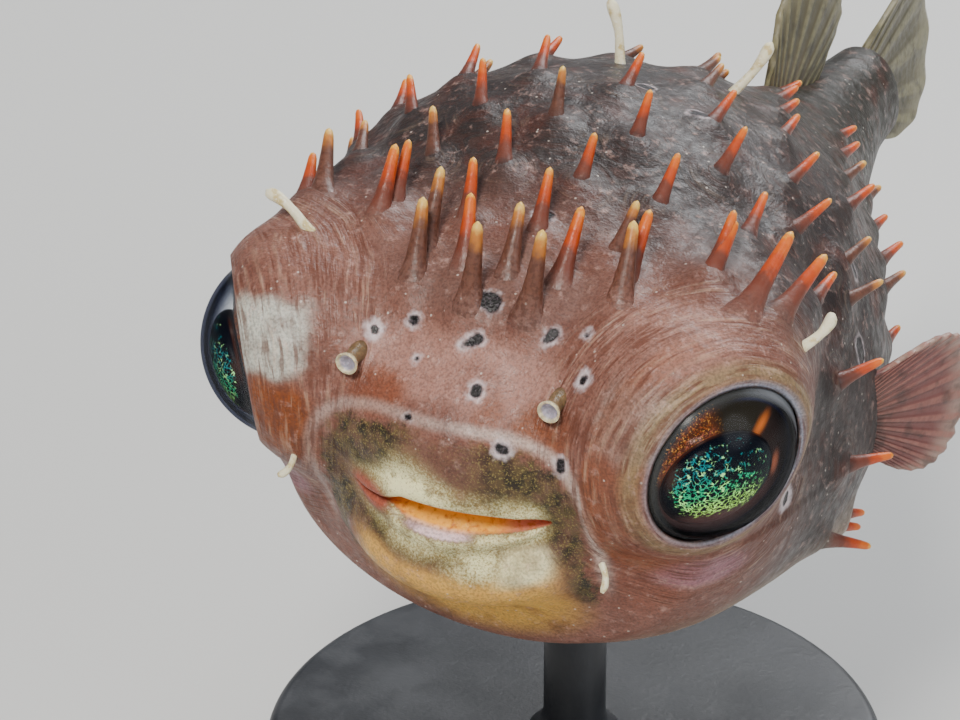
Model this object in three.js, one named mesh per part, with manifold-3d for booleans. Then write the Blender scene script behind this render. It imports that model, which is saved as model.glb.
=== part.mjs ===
// An orbicular burrfish, a short-spined fish of the porcupinefish family, at life size on a plain stand.
// Millimetres, +Z up. The fish faces -Y and its left side is +X. The origin is the middle of the
// stand's underside.
//
// The body is one smooth closed form: a lofted trunk with rounded masses for the forehead, brows, eye
// mounts, cheeks, lips and jaw melted into it. It is parted by thin cuts into named pieces. Every piece
// is made in the fish's own straight frame, whose zero is midway between the eyes, then bent and set down.
import * as THREE from 'three';
import { mergeVertices } from 'three/addons/utils/BufferGeometryUtils.js';
import Module from 'manifold-3d';

const wasm = await Module();
wasm.setup();

// ---------- driving dimensions ----------

const GAP = 0.3; // clearance between pieces that touch

// Trunk stations: distance behind the eyes, half width, top, underside.
const STATIONS = [
  [2, 15.6, 6.4, -18.6],
  [8, 18.8, 10.4, -21.5],
  [15, 22.2, 13.4, -24.2],
  [22, 23.7, 14.8, -25.6],
  [29, 23.0, 14.2, -25.4],
  [36, 20.0, 12.0, -22.6],
  [43, 15.2, 8.6, -17.6],
  [50, 10.2, 5.2, -12.4],
  [57, 6.6, 3.0, -9.0],
  [64, 4.4, 1.9, -7.3],
  [70, 3.5, 1.6, -6.9],
];
const SQUARENESS = 2.15; // exponent of the trunk's section; 2 is an ellipse
const WIDEST = 0.42; // share of the top in the height of the widest line
const TAIL_END = STATIONS[STATIONS.length - 1][0];

const EYE_CENTRE = new THREE.Vector3(19, 0, 0); // middle of the eye's rim
const EYE_FACING = new THREE.Vector3(0.842, -0.523, -0.13).normalize();
const EYE_RIM = 6.25; // radius of the rim
const EYE_BULGE = 3.6; // how far the cornea stands out of the rim
const EYE_RADIUS = (EYE_RIM ** 2 + EYE_BULGE ** 2) / (2 * EYE_BULGE);

const BOW_DEPTH = 3.6; // how far the trunk bows to the fish's right
const BOW_START = 4;
const BOW_RISE = 22;
const BOW_END = 32;
const BOW_FALL = 30;

const LIP_SAG = 2.7; // how far the middle of the mouth hangs below its corners
const LIP_SAG_CENTRE = [0, -7.5]; // across and up
const LIP_SAG_REACH = [17, 9];
const LIP_SAG_DEPTH = [-3, 3]; // stations between which the sag fades out

const NECK_CUT = 9.8; // where the head ends
const WAIST_CUT = 27.6; // where the front of the trunk ends
const TAIL_CUT = 54; // where the tail starts
const MOUTH_LEVEL = -4.1; // at the corners of the mouth
const MUZZLE_CENTRE = [0, -6, -5.8];
const MUZZLE_RADII = [11.2, 9, 7.4];

const BASE_RADIUS = 25;
const BASE_HEIGHT = 5;
const BASE_EDGE = 0.8; // bevel
const ROD_RADIUS = 2.5;
const ROD_STATION = 23; // the rod and the base stand under this station
const EYE_HEIGHT = 46; // eye level above the table

// ---------- the body's form ----------

const { abs, hypot, max, min, cos, sin, PI } = Math;
const { clamp, lerp, smoothstep, euclideanModulo } = THREE.MathUtils;
const vec = (x, y, z) => new THREE.Vector3(x, y, z);

/** Smooth curve through one column of the stations. */
function station(column, y) {
  const last = STATIONS.length - 1;
  const at = clamp(y, STATIONS[0][0], STATIONS[last][0]);
  let i = 0;
  while (i < last - 1 && STATIONS[i + 1][0] <= at) i += 1;
  const slope = (k) => {
    const a = STATIONS[max(k - 1, 0)];
    const b = STATIONS[min(k + 1, last)];
    return (b[column] - a[column]) / (b[0] - a[0]);
  };
  const step = STATIONS[i + 1][0] - STATIONS[i][0];
  const t = (at - STATIONS[i][0]) / step;
  return (
    (2 * t ** 3 - 3 * t ** 2 + 1) * STATIONS[i][column] +
    (t ** 3 - 2 * t ** 2 + t) * step * slope(i) +
    (3 * t ** 2 - 2 * t ** 3) * STATIONS[i + 1][column] +
    (t ** 3 - t ** 2) * step * slope(i + 1)
  );
}

/** Union of two distances, rounded over the width k. */
function melt(a, b, k) {
  const h = clamp(0.5 + (0.5 * (b - a)) / k, 0, 1);
  return b + (a - b) * h - k * h * (1 - h);
}

function ellipsoid(x, y, z, centre, radii) {
  const q = [x - centre[0], y - centre[1], z - centre[2]];
  const k0 = hypot(q[0] / radii[0], q[1] / radii[1], q[2] / radii[2]);
  const k1 = hypot(q[0] / radii[0] ** 2, q[1] / radii[1] ** 2, q[2] / radii[2] ** 2);
  return (k0 * (k0 - 1)) / (k1 + 1e-9);
}

function trunk(x, y, z) {
  const width = station(1, y);
  const top = station(2, y);
  const bottom = station(3, y);
  const middle = top * WIDEST + bottom * (1 - WIDEST);
  const height = z > middle ? top - middle : middle - bottom;
  const reach = (abs(x / width) ** SQUARENESS + abs((z - middle) / height) ** SQUARENESS) ** (1 / SQUARENESS);
  const side = (reach - 1) * min(width, height);
  const beyond = max(STATIONS[0][0] - y, y - TAIL_END, 0);
  return beyond > 0 ? hypot(max(side, 0), beyond) : side;
}

// The eye's own axes: out of the eye, across it and up it.
const EYE_ACROSS = vec(0, 0, 1).cross(EYE_FACING).normalize();
const EYE_UP = EYE_FACING.clone().cross(EYE_ACROSS);
const EYE_MOUNT_SINK = 2.9; // how far the mount's widest line lies behind the rim
const EYE_MOUNT_RADIUS = 8.4;
const EYE_MOUNT_FRONT = 5.2; // its reach forward and back of that line
const EYE_MOUNT_REAR = 8.6;

function eyeMount(x, y, z) {
  const q = vec(x, y, z).sub(EYE_CENTRE);
  const along = q.dot(EYE_FACING) + EYE_MOUNT_SINK;
  const radii = [along > 0 ? EYE_MOUNT_FRONT : EYE_MOUNT_REAR, EYE_MOUNT_RADIUS, EYE_MOUNT_RADIUS];
  return ellipsoid(along, q.dot(EYE_ACROSS), q.dot(EYE_UP), [0, 0, 0], radii);
}

/** Distance outside the trunk and head without the eye mounts, negative inside. */
function headAndTrunk(x, y, z) {
  const side = abs(x);
  let d = trunk(x, y, z);
  d = melt(d, ellipsoid(x, y, z, [0, 10, -6], [19.8, 14.4, 14.8]), 5); // front of the head
  d = melt(d, ellipsoid(x, y, z, [0, 8.9, 0.4], [18, 11.8, 8.6]), 5); // forehead
  d = melt(d, ellipsoid(side, y, z, [13.6, 5.4, 3.4], [8.2, 8.6, 5.6]), 4); // brows
  d = melt(d, ellipsoid(side, y, z, [14, 12, 3], [7.4, 8, 6.6]), 4); // temples
  d = melt(d, ellipsoid(side, y, z, [10.5, 1.5, -1], [6, 5.6, 6.4]), 3); // cheeks
  d = melt(d, ellipsoid(x, y, z, [0, 0.9, -0.9], [10.8, 8, 4.4]), 4); // upper lip
  d = melt(d, ellipsoid(x, y, z, [0, 0.8, -7.9], [10.9, 7.9, 5.9]), 1.6); // lower jaw
  d = melt(d, ellipsoid(side, y, z, [9.4, 0.4, -4], [2.4, 3.6, 2.2]), 2); // corners of the mouth
  return d;
}

/** Distance outside all of the fish's flesh. */
function flesh(x, y, z) {
  return melt(headAndTrunk(x, y, z), eyeMount(abs(x), y, z), 3);
}

/** How far the trunk is bowed sideways at a station. */
function bow(y) {
  return (
    -BOW_DEPTH *
    smoothstep(y, BOW_START, BOW_START + BOW_RISE) *
    (1 - smoothstep(y, BOW_END, BOW_END + BOW_FALL))
  );
}

/** How far the mouth sags at a point of the face: a smooth bell that dies away before the eyes. */
function lipSag(x, y, z) {
  const bell = (t) => max(1 - t * t, 0) ** 2;
  const across = bell((x - LIP_SAG_CENTRE[0]) / LIP_SAG_REACH[0]);
  const upward = bell((z - LIP_SAG_CENTRE[1]) / LIP_SAG_REACH[1]);
  return LIP_SAG * across * upward * (1 - smoothstep(y, ...LIP_SAG_DEPTH));
}

// ---------- solids ----------

function solid(geometry) {
  geometry.deleteAttribute('normal');
  geometry.deleteAttribute('uv');
  const merged = mergeVertices(geometry, 1e-5);
  return new wasm.Manifold(
    new wasm.Mesh({
      numProp: 3,
      vertProperties: new Float32Array(merged.attributes.position.array),
      triVerts: new Uint32Array(merged.index.array),
    }),
  );
}

function ellipsoidSolid(centre, radii, around = 18, down = 12) {
  const ball = new THREE.SphereGeometry(1, around, down);
  ball.scale(...radii);
  ball.translate(...centre);
  return solid(ball);
}

/** The same solid on the fish's other side. */
function mirrored(shape) {
  const mesh = shape.getMesh();
  const positions = new Float32Array(mesh.vertProperties);
  for (let i = 0; i < positions.length; i += 3) positions[i] = -positions[i];
  const faces = new Uint32Array(mesh.triVerts);
  for (let i = 0; i < faces.length; i += 3) [faces[i + 1], faces[i + 2]] = [faces[i + 2], faces[i + 1]];
  return new wasm.Manifold(new wasm.Mesh({ numProp: 3, vertProperties: positions, triVerts: faces }));
}

/** A big block that keeps the stations between two cuts. */
function slab(from, to) {
  const block = new THREE.BoxGeometry(120, to - from, 120);
  block.translate(0, (from + to) / 2, 0);
  return solid(block);
}

/** Where a ray from inside leaves a form grown by `skin`. */
function leave(origin, direction, skin, form) {
  const outside = (r) =>
    form(origin.x + direction.x * r, origin.y + direction.y * r, origin.z + direction.z * r) > skin;
  let inner = 0;
  for (let r = 0.5; r < 45; r += 0.5) if (!outside(r)) inner = r;
  let outer = inner + 0.5;
  for (let i = 0; i < 22; i += 1) {
    const middle = (inner + outer) / 2;
    if (outside(middle)) outer = middle;
    else inner = middle;
  }
  return origin.clone().addScaledVector(direction, inner);
}

// Rings of rays: the first ones open round the mouth from a slit to a full circle, the others
// walk down the trunk.
const BODY_MIDDLE = -8; // height that the spine rows are spread round
const HEAD_ORIGIN = vec(0, 8, -4.1);
const TAIL_ORIGIN_HEIGHT = -2.6;
const SLIT = 0.53; // half the mouth's width as an angle
const COLUMNS = 32;
const HEAD_RINGS = 12;
const TRUNK_RINGS = 14;

function headRay(ring, angle) {
  const share = (ring + 0.5) / HEAD_RINGS;
  const spread = Math.acosh(PI / 2 / SLIT) * share;
  const across = SLIT * Math.cosh(spread) * cos(angle);
  const upward = SLIT * Math.sinh(spread) * sin(angle);
  const round = smoothstep(share, 0.6, 1);
  const away = lerp(hypot(across, upward), PI / 2, round);
  const found = Math.atan2(upward, across);
  const turn = euclideanModulo(angle - found + PI, 2 * PI) - PI;
  const heading = found + turn * round;
  return vec(sin(away) * cos(heading), -cos(away), sin(away) * sin(heading));
}

/** The loft of the trunk and head, from the middle of the mouth to the root of the tail fin. */
function bodyLoft(skin) {
  const points = [];
  for (let ring = 0; ring < HEAD_RINGS; ring += 1) {
    for (let c = 0; c < COLUMNS; c += 1) {
      points.push(leave(HEAD_ORIGIN, headRay(ring, (c / COLUMNS) * 2 * PI), skin, headAndTrunk));
    }
  }
  const end = TAIL_END + skin * 0.9;
  for (let ring = 1; ring <= TRUNK_RINGS; ring += 1) {
    const share = ring / TRUNK_RINGS;
    const y = lerp(HEAD_ORIGIN.y, end, share);
    const origin = vec(0, y, lerp(HEAD_ORIGIN.z, TAIL_ORIGIN_HEIGHT, share));
    for (let c = 0; c < COLUMNS; c += 1) {
      const angle = (c / COLUMNS) * 2 * PI;
      points.push(leave(origin, vec(cos(angle), 0, sin(angle)), skin, headAndTrunk));
    }
  }
  const rings = HEAD_RINGS + TRUNK_RINGS;
  const nose = points.push(leave(HEAD_ORIGIN, vec(0, -1, 0), skin, headAndTrunk)) - 1;
  const tail = points.push(vec(0, end, TAIL_ORIGIN_HEIGHT)) - 1;
  const faces = [];
  for (let c = 0; c < COLUMNS; c += 1) {
    const next = (c + 1) % COLUMNS;
    faces.push(nose, c, next);
    for (let ring = 0; ring < rings - 1; ring += 1) {
      const a = ring * COLUMNS;
      const b = a + COLUMNS;
      faces.push(a + c, b + c, b + next, a + c, b + next, a + next);
    }
    const last = (rings - 1) * COLUMNS;
    faces.push(tail, last + next, last + c);
  }
  return new wasm.Manifold(
    new wasm.Mesh({
      numProp: 3,
      vertProperties: new Float32Array(points.flatMap((p) => [p.x, p.y, p.z])),
      triVerts: new Uint32Array(faces),
    }),
  );
}

/** The round mounts of both eyes, finer than the loft so that the lids come out clean. */
function eyeMountSolids(skin) {
  const ball = new THREE.SphereGeometry(EYE_MOUNT_RADIUS + skin, 22, 12).rotateX(PI / 2);
  const points = ball.attributes.position;
  for (let i = 0; i < points.count; i += 1) {
    const reach = points.getZ(i) > 0 ? EYE_MOUNT_FRONT : EYE_MOUNT_REAR;
    points.setZ(i, (points.getZ(i) * (reach + skin)) / (EYE_MOUNT_RADIUS + skin));
  }
  const centre = EYE_CENTRE.clone().addScaledVector(EYE_FACING, -EYE_MOUNT_SINK);
  const mount = solid(aim(ball, centre, EYE_FACING));
  return mount.add(mirrored(mount));
}

function fleshSolid(skin) {
  return bodyLoft(skin).add(eyeMountSolids(skin));
}

/** Turns a shape made along +Z, with +X as its `side`, and sets it down at a point. */
function aim(geometry, point, along, side = vec(1, 0, 0)) {
  const z = along.clone().normalize();
  const y = z.clone().cross(side).normalize();
  const x = y.clone().cross(z);
  geometry.applyMatrix4(new THREE.Matrix4().makeBasis(x, y, z).setPosition(point));
  return geometry;
}

function outward(p) {
  const e = 0.05;
  return vec(
    flesh(p.x + e, p.y, p.z) - flesh(p.x - e, p.y, p.z),
    flesh(p.x, p.y + e, p.z) - flesh(p.x, p.y - e, p.z),
    flesh(p.x, p.y, p.z + e) - flesh(p.x, p.y, p.z - e),
  ).normalize();
}

/** The point of the skin at a station, seen at an angle from straight up round the body's middle. */
function skinAt(y, angle) {
  return leave(vec(0, y, BODY_MIDDLE), vec(sin(angle), 0, cos(angle)), 0, flesh);
}

/** Slides a point along the outward direction until it lies on the skin. */
function onSkin(x, y, z) {
  const p = vec(x, y, z);
  for (let i = 0; i < 8; i += 1) p.addScaledVector(outward(p), -flesh(p.x, p.y, p.z));
  return p;
}

// ---------- spines ----------

// Rows from the forehead back: station on the midline, how fast the row sweeps back with distance
// from the midline, pitch along the row, share of the pitch left of the midline where it starts, how
// far round the body it goes in radians from straight up, spine length, lean from upright in radians.
const SPINE_ROWS = [
  { y: -0.4, sweep: 0.042, pitch: 4.5, shift: 0.8, round: 0.86, length: 6.4, lean: 0.98 },
  { y: 2.0, sweep: 0.04, pitch: 3.5, shift: 0.3, round: 0.94, length: 5.8, lean: 1.1 },
  { y: 6.2, sweep: 0.012, pitch: 5.7, shift: 0.25, round: 1.0, length: 5.0, lean: 1.12 },
  { y: 12.2, sweep: 0.014, pitch: 6.0, shift: 0.45, round: 1.9, length: 4.6, lean: 1.15 },
  { y: 18.0, sweep: 0.012, pitch: 6.4, shift: 0.9, round: PI, length: 4.2, lean: 1.15 },
  { y: 24.4, sweep: 0.006, pitch: 7.0, shift: 0.4, round: PI, length: 4.0, lean: 1.2 },
  { y: 31.0, sweep: 0.004, pitch: 7.0, shift: 0.9, round: PI, length: 3.8, lean: 1.2 },
  { y: 37.4, sweep: 0, pitch: 7.0, shift: 0.4, round: PI, length: 3.6, lean: 1.2 },
  { y: 43.6, sweep: 0, pitch: 6.6, shift: 0.9, round: PI, length: 3.3, lean: 1.2 },
  { y: 49.4, sweep: 0, pitch: 6.0, shift: 0.4, round: PI, length: 3.0, lean: 1.2 },
];
const SPINE_ROOT = 1.05; // radius at the skin
const SPINE_SIDES = 4;
const TRUNK_SPINE_SIDES = 3;
const SPINE_BURIED = 1.0;
const CUT_MARGIN = 2.2; // a spine's root stays this far from a cut
const BELLY_LEVEL = -16;
const BELLY_SPINE = 0.7; // belly spines are this much shorter

/** Walks one row from the midline to both sides and returns its spines. */
function spinesOfRow(row) {
  const radius = skinAt(row.y, 0).z - BODY_MIDDLE;
  const end = min(row.round * radius, PI * radius - row.pitch * 0.4);
  const spines = [];
  for (const side of [1, -1]) {
    const first = (side > 0 ? row.shift : 1 - row.shift) * row.pitch;
    for (let along = first; along < end; along += row.pitch) {
      spines.push(spine(row, (along * side) / radius, radius));
    }
  }
  return spines;
}

function spine(row, angle, radius) {
  const across = radius * sin(min(abs(angle), PI / 2));
  let y = row.y + row.sweep * across ** 2;
  for (const cut of [NECK_CUT, WAIST_CUT, TAIL_CUT]) {
    if (abs(y - cut) < CUT_MARGIN) y = cut + (row.y < cut ? -CUT_MARGIN : CUT_MARGIN);
  }
  const root = skinAt(y, angle);
  const normal = outward(root);
  const back = vec(0, 1, 0).addScaledVector(normal, -normal.y).normalize();
  const direction = normal.multiplyScalar(cos(row.lean)).addScaledVector(back, sin(row.lean));
  return { root, direction, length: row.length * (root.z < BELLY_LEVEL ? BELLY_SPINE : 1) };
}

function spineSolid({ root, direction, length }) {
  const whole = length + SPINE_BURIED;
  const sides = root.y > NECK_CUT ? TRUNK_SPINE_SIDES : SPINE_SIDES;
  const cone = new THREE.ConeGeometry(SPINE_ROOT, whole, sides);
  cone.rotateX(PI / 2);
  cone.translate(0, 0, whole / 2 - SPINE_BURIED);
  return solid(aim(cone, root, direction));
}

const SPINES = SPINE_ROWS.flatMap(spinesOfRow);

function withSpines(body, from, to) {
  const own = SPINES.filter((s) => s.root.y > from && s.root.y < to && clearOfFeatures(s));
  return own.reduce((sum, s) => sum.add(spineSolid(s)), body);
}

// ---------- fins ----------

const FIN_THICKNESS = 0.8;
const FIN_BURIED = 1.6;
const FINS = {
  pectoral: { root: [23.2, 27, -8.4], base: [0, -0.16, 1], reach: [0.5, 0.86, -0.12], wide: 7, long: 9.5, flare: 3.6 },
  dorsal: { root: [0, 55.5, 3.4], base: [0, 1, -0.42], reach: [0, 0.62, 0.78], wide: 8, long: 10, flare: 2.4 },
  anal: { root: [0, 57.5, -8.9], base: [0, 1, 0.42], reach: [0, 0.66, -0.75], wide: 7, long: 8.5, flare: 2.2 },
  caudal: { root: [0, TAIL_END, -2.6], base: [0, 0, 1], reach: [0, 1, 0], wide: 7.4, long: 16, flare: 5 },
};

/** Flat fan: a straight buried root and a round outer edge. */
function fan({ root, base, reach, wide, long, flare }) {
  const outline = new THREE.Shape();
  const half = wide / 2;
  outline.moveTo(-half * 0.9, -FIN_BURIED);
  outline.lineTo(half * 0.9, -FIN_BURIED);
  outline.lineTo(half, 0);
  outline.bezierCurveTo(half + flare, long * 0.45, half + flare, long * 0.98, 0, long);
  outline.bezierCurveTo(-half - flare, long * 0.98, -half - flare, long * 0.45, -half, 0);
  const plate = new THREE.ExtrudeGeometry(outline, {
    depth: FIN_THICKNESS,
    bevelEnabled: false,
    curveSegments: 9,
  });
  plate.translate(0, 0, -FIN_THICKNESS / 2);
  const v = vec(...reach).normalize();
  const w = vec(...base).cross(v).normalize();
  const u = v.clone().cross(w);
  plate.applyMatrix4(new THREE.Matrix4().makeBasis(u, v, w).setPosition(vec(...root)));
  return solid(plate);
}

// ---------- small parts ----------

/** A round shape turned about its own axis, from pairs of radius and height. */
function turned(profile, sides) {
  return new THREE.LatheGeometry(
    profile.map(([radius, height]) => new THREE.Vector2(radius, height)),
    sides,
  ).rotateX(PI / 2);
}

/** A fleshy feeler with a club at its tip; its foot is buried and cut away later. */
function cirrus(root, direction, length) {
  const profile = [
    [0, -0.8],
    [0.5, -0.8],
    [0.42, length * 0.45],
    [0.58, length * 0.85],
    [0.36, length],
    [0, length + 0.1],
  ];
  return solid(aim(turned(profile, 8), root, direction));
}

const CIRRI = {
  cirrus_brow_right: { root: [-15.7, 2.8, 9.4], direction: [-3.2, 0.8, 1.9], length: 4.2 },
  cirrus_brow_left: { root: [19.4, 8.4, 4.6], direction: [1.2, 1.8, 0.9], length: 3.6 },
  cirrus_back_right: { root: [-1.3, 32.6, 13.2], direction: [-1.2, 1.2, 4.7], length: 5 },
  cirrus_back_left: { root: [6.6, 36, 11.2], direction: [2, 2.4, 3.4], length: 4.7 },
  cirrus_cheek_left: { root: [10.8, -2.2, -8.2], direction: [0.9, -0.9, -1.6], length: 2.2 },
  cirrus_cheek_right: { root: [-12.9, -4.6, -4.8], direction: [-0.6, -0.8, -1.9], length: 2 },
};

// ---------- spines kept clear of other parts ----------

const CIRRUS_ROOM = 3; // room round a feeler's foot

function clearOfFeatures({ root, direction, length }) {
  const fin = FINS.pectoral;
  const nearPectoral = abs(root.x) > 12 && hypot(root.y - fin.root[1], root.z - fin.root[2]) < 6;
  const nearEye = vec(abs(root.x), root.y, root.z).distanceTo(EYE_CENTRE) < EYE_RADIUS + 2;
  const middle = root.clone().addScaledVector(direction, length / 2);
  const nearCirrus = Object.values(CIRRI).some((cirrus) => {
    const foot = vec(...cirrus.root);
    return min(foot.distanceTo(root), foot.distanceTo(middle)) < CIRRUS_ROOM;
  });
  return !nearPectoral && !nearEye && !nearCirrus;
}

const NOSTRIL = { root: [8, -3.6, 3.9], outer: 0.8, bore: 0.45, tall: 1.7, sunk: 1 };

/** A cup on a short stalk, open at its end, that points straight ahead. */
function nostril(side) {
  const root = onSkin(NOSTRIL.root[0] * side, NOSTRIL.root[1], NOSTRIL.root[2]);
  const profile = [
    [0, -NOSTRIL.sunk],
    [NOSTRIL.outer * 0.8, -NOSTRIL.sunk],
    [NOSTRIL.outer * 0.8, NOSTRIL.tall * 0.4],
    [NOSTRIL.outer, NOSTRIL.tall],
    [NOSTRIL.bore, NOSTRIL.tall],
    [NOSTRIL.bore * 0.7, NOSTRIL.tall * 0.45],
    [0, NOSTRIL.tall * 0.45],
  ];
  return solid(aim(turned(profile, 10), root, vec(0, -1, 0)));
}

function eye(side, extra = 0) {
  const centre = EYE_CENTRE.clone().addScaledVector(EYE_FACING, EYE_BULGE - EYE_RADIUS);
  const radius = EYE_RADIUS + extra;
  return ellipsoidSolid([centre.x * side, centre.y, centre.z], [radius, radius, radius], 16, 10);
}

// Everything in front of the eye's rim is cut back along a flaring cone, so the lids end in a clean ring.
const LID_FLARE = 3; // how far the cone widens, and its depth

function eyeOpening() {
  const rim = EYE_RIM + GAP;
  const profile = [
    [0, -EYE_BULGE],
    [rim, -EYE_BULGE],
    [rim, 0],
    [rim + LID_FLARE, LID_FLARE],
    [0, LID_FLARE],
  ];
  return solid(aim(turned(profile, 24), EYE_CENTRE, EYE_FACING));
}

// ---------- the stand, in the fish's frame ----------

const TABLE = -EYE_HEIGHT;

function standBase() {
  const profile = [
    [0, 0],
    [BASE_RADIUS, 0],
    [BASE_RADIUS, BASE_HEIGHT - BASE_EDGE],
    [BASE_RADIUS - BASE_EDGE, BASE_HEIGHT],
    [0, BASE_HEIGHT],
  ];
  const disc = turned(profile, 26);
  disc.translate(bow(ROD_STATION), ROD_STATION, TABLE);
  return solid(disc);
}

function standRod() {
  const foot = TABLE + BASE_HEIGHT + GAP;
  const top = station(3, ROD_STATION) + ROD_RADIUS;
  const rod = new THREE.CylinderGeometry(ROD_RADIUS, ROD_RADIUS, top - foot, 14);
  rod.rotateX(PI / 2);
  rod.translate(0, ROD_STATION, (top + foot) / 2);
  return solid(rod);
}

// ---------- assembly ----------

const FINISHES = {
  skin: { color: 0xb58c82, roughness: 0.5 },
  mask: { color: 0x5c5138, roughness: 0.5 },
  fin: { color: 0x9c8f78, roughness: 0.5 },
  cirrus: { color: 0xeeeade, roughness: 0.5 },
  eye: { color: 0x25303c, roughness: 0.08 },
  stand: { color: 0x2b2d30, roughness: 0.4 },
};

const fish = new THREE.Group();

/** Names a finished solid, bends it with the body and stands it on the table. */
function add(name, shape, finish, bent = true) {
  const mesh = shape.getMesh();
  const positions = new Float32Array(mesh.vertProperties);
  const shift = bow(ROD_STATION);
  for (let i = 0; i < positions.length; i += 3) {
    if (bent) positions[i + 2] -= lipSag(...positions.subarray(i, i + 3));
    positions[i] += (bent ? bow(positions[i + 1]) : 0) - shift;
    positions[i + 1] -= ROD_STATION;
    positions[i + 2] += EYE_HEIGHT;
  }
  const geometry = new THREE.BufferGeometry();
  geometry.setAttribute('position', new THREE.BufferAttribute(positions, 3));
  geometry.setIndex([...mesh.triVerts]);
  geometry.computeVertexNormals();
  const piece = new THREE.Mesh(geometry, new THREE.MeshStandardMaterial({ metalness: 0, ...FINISHES[finish] }));
  piece.name = name;
  fish.add(piece);
}

const body = fleshSolid(0);
const bodyGrown = fleshSolid(GAP);
const socket = eye(1, GAP).add(eyeOpening());
const sockets = socket.add(mirrored(socket));
const half = GAP / 2;

const muzzleHole = ellipsoidSolid(
  MUZZLE_CENTRE,
  MUZZLE_RADII.map((radius) => radius + GAP),
);
const muzzle = body.intersect(ellipsoidSolid(MUZZLE_CENTRE, MUZZLE_RADII));
const above = new THREE.BoxGeometry(60, 60, 40).translate(0, 0, MOUTH_LEVEL + half + 20);
const below = new THREE.BoxGeometry(60, 60, 40).translate(0, 0, MOUTH_LEVEL - half - 20);

const head = body.intersect(slab(-40, NECK_CUT - half)).subtract(muzzleHole).subtract(sockets);
add('head', withSpines(head, -40, NECK_CUT), 'skin');
add('muzzle_upper', muzzle.intersect(solid(above)), 'mask');
add('muzzle_lower', muzzle.intersect(solid(below)), 'mask');

const trunkFront = body.intersect(slab(NECK_CUT + half, WAIST_CUT - half));
add('trunk_front', withSpines(trunkFront, NECK_CUT, WAIST_CUT), 'skin');
const trunkRear = body.intersect(slab(WAIST_CUT + half, TAIL_CUT - half));
add('trunk_rear', withSpines(trunkRear, WAIST_CUT, TAIL_CUT), 'skin');
add('tail', body.intersect(slab(TAIL_CUT + half, 90)), 'skin');

for (const [side, word] of [
  [1, 'left'],
  [-1, 'right'],
]) {
  add(`eye_${word}`, eye(side), 'eye');
  add(`nostril_${word}`, nostril(side).subtract(bodyGrown), 'cirrus');
  const fin = fan(FINS.pectoral);
  const placed = side > 0 ? fin : mirrored(fin);
  add(`pectoral_fin_${word}`, placed.subtract(bodyGrown), 'fin');
}
for (const name of ['dorsal', 'anal', 'caudal']) {
  add(`${name}_fin`, fan(FINS[name]).subtract(bodyGrown), 'fin');
}
for (const [name, { root, direction, length }] of Object.entries(CIRRI)) {
  add(name, cirrus(onSkin(...root), vec(...direction), length).subtract(bodyGrown), 'cirrus');
}

add('stand_base', standBase(), 'stand', false);
add('stand_rod', standRod().subtract(bodyGrown), 'stand');

export default fish;
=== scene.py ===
import math

import bmesh
import bpy
import numpy as np
from bpy.props import FloatProperty, IntProperty, PointerProperty
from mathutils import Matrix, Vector


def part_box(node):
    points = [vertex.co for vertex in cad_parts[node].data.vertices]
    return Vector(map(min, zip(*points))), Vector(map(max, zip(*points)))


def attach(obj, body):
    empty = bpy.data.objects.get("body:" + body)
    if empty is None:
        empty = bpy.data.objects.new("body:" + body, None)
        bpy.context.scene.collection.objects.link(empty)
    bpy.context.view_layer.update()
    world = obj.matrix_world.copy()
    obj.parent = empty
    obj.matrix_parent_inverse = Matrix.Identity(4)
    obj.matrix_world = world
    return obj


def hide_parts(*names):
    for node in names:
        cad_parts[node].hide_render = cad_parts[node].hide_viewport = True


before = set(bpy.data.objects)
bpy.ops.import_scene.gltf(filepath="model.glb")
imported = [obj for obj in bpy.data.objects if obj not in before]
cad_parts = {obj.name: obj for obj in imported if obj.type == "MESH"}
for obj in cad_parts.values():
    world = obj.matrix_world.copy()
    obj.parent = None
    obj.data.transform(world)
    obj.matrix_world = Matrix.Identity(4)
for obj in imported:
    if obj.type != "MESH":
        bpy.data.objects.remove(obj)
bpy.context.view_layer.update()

bl_info = {
    "name": "Orbicular burrfish model",
    "version": (1, 0, 0),
    "blender": (4, 5, 0),
    "location": "3D View > Sidebar > Burrfish",
    "description": "Skin, spines, eyes, fins and stand of a life-size burrfish",
    "category": "Object",
}

# The whole fish is worked out in millimetres in its own straight frame: zero is midway between the
# rims of the eyes, the fish faces -Y and its left side is +X. bend() takes a point from there to the
# model, in metres.

MM = 0.001
BODY = "root"

# ---------- driving dimensions ----------

# Trunk stations: distance behind the eyes, half width, top, underside.
STATIONS = np.array(
    [
        (2, 15.6, 6.4, -18.6),
        (8, 18.8, 10.4, -21.5),
        (15, 22.2, 13.4, -24.2),
        (22, 23.7, 14.8, -25.6),
        (29, 23.0, 14.2, -25.4),
        (36, 20.0, 12.0, -22.6),
        (43, 15.2, 8.6, -17.6),
        (50, 10.2, 5.2, -12.4),
        (57, 6.6, 3.0, -9.0),
        (64, 4.4, 1.9, -7.3),
        (70, 3.5, 1.6, -6.9),
    ]
)
SQUARENESS = 2.15
WIDEST = 0.42
TAIL_END = STATIONS[-1, 0]

BOW_DEPTH = 3.6
BOW_SPAN = (4, 26)
BOW_RETURN = (32, 62)

LIP_SAG = 2.7
LIP_SAG_LEVEL = -7.5
LIP_SAG_REACH = (17, 9)
LIP_SAG_DEPTH = (-3, 3)
MOUTH_LEVEL = -4.1

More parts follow.
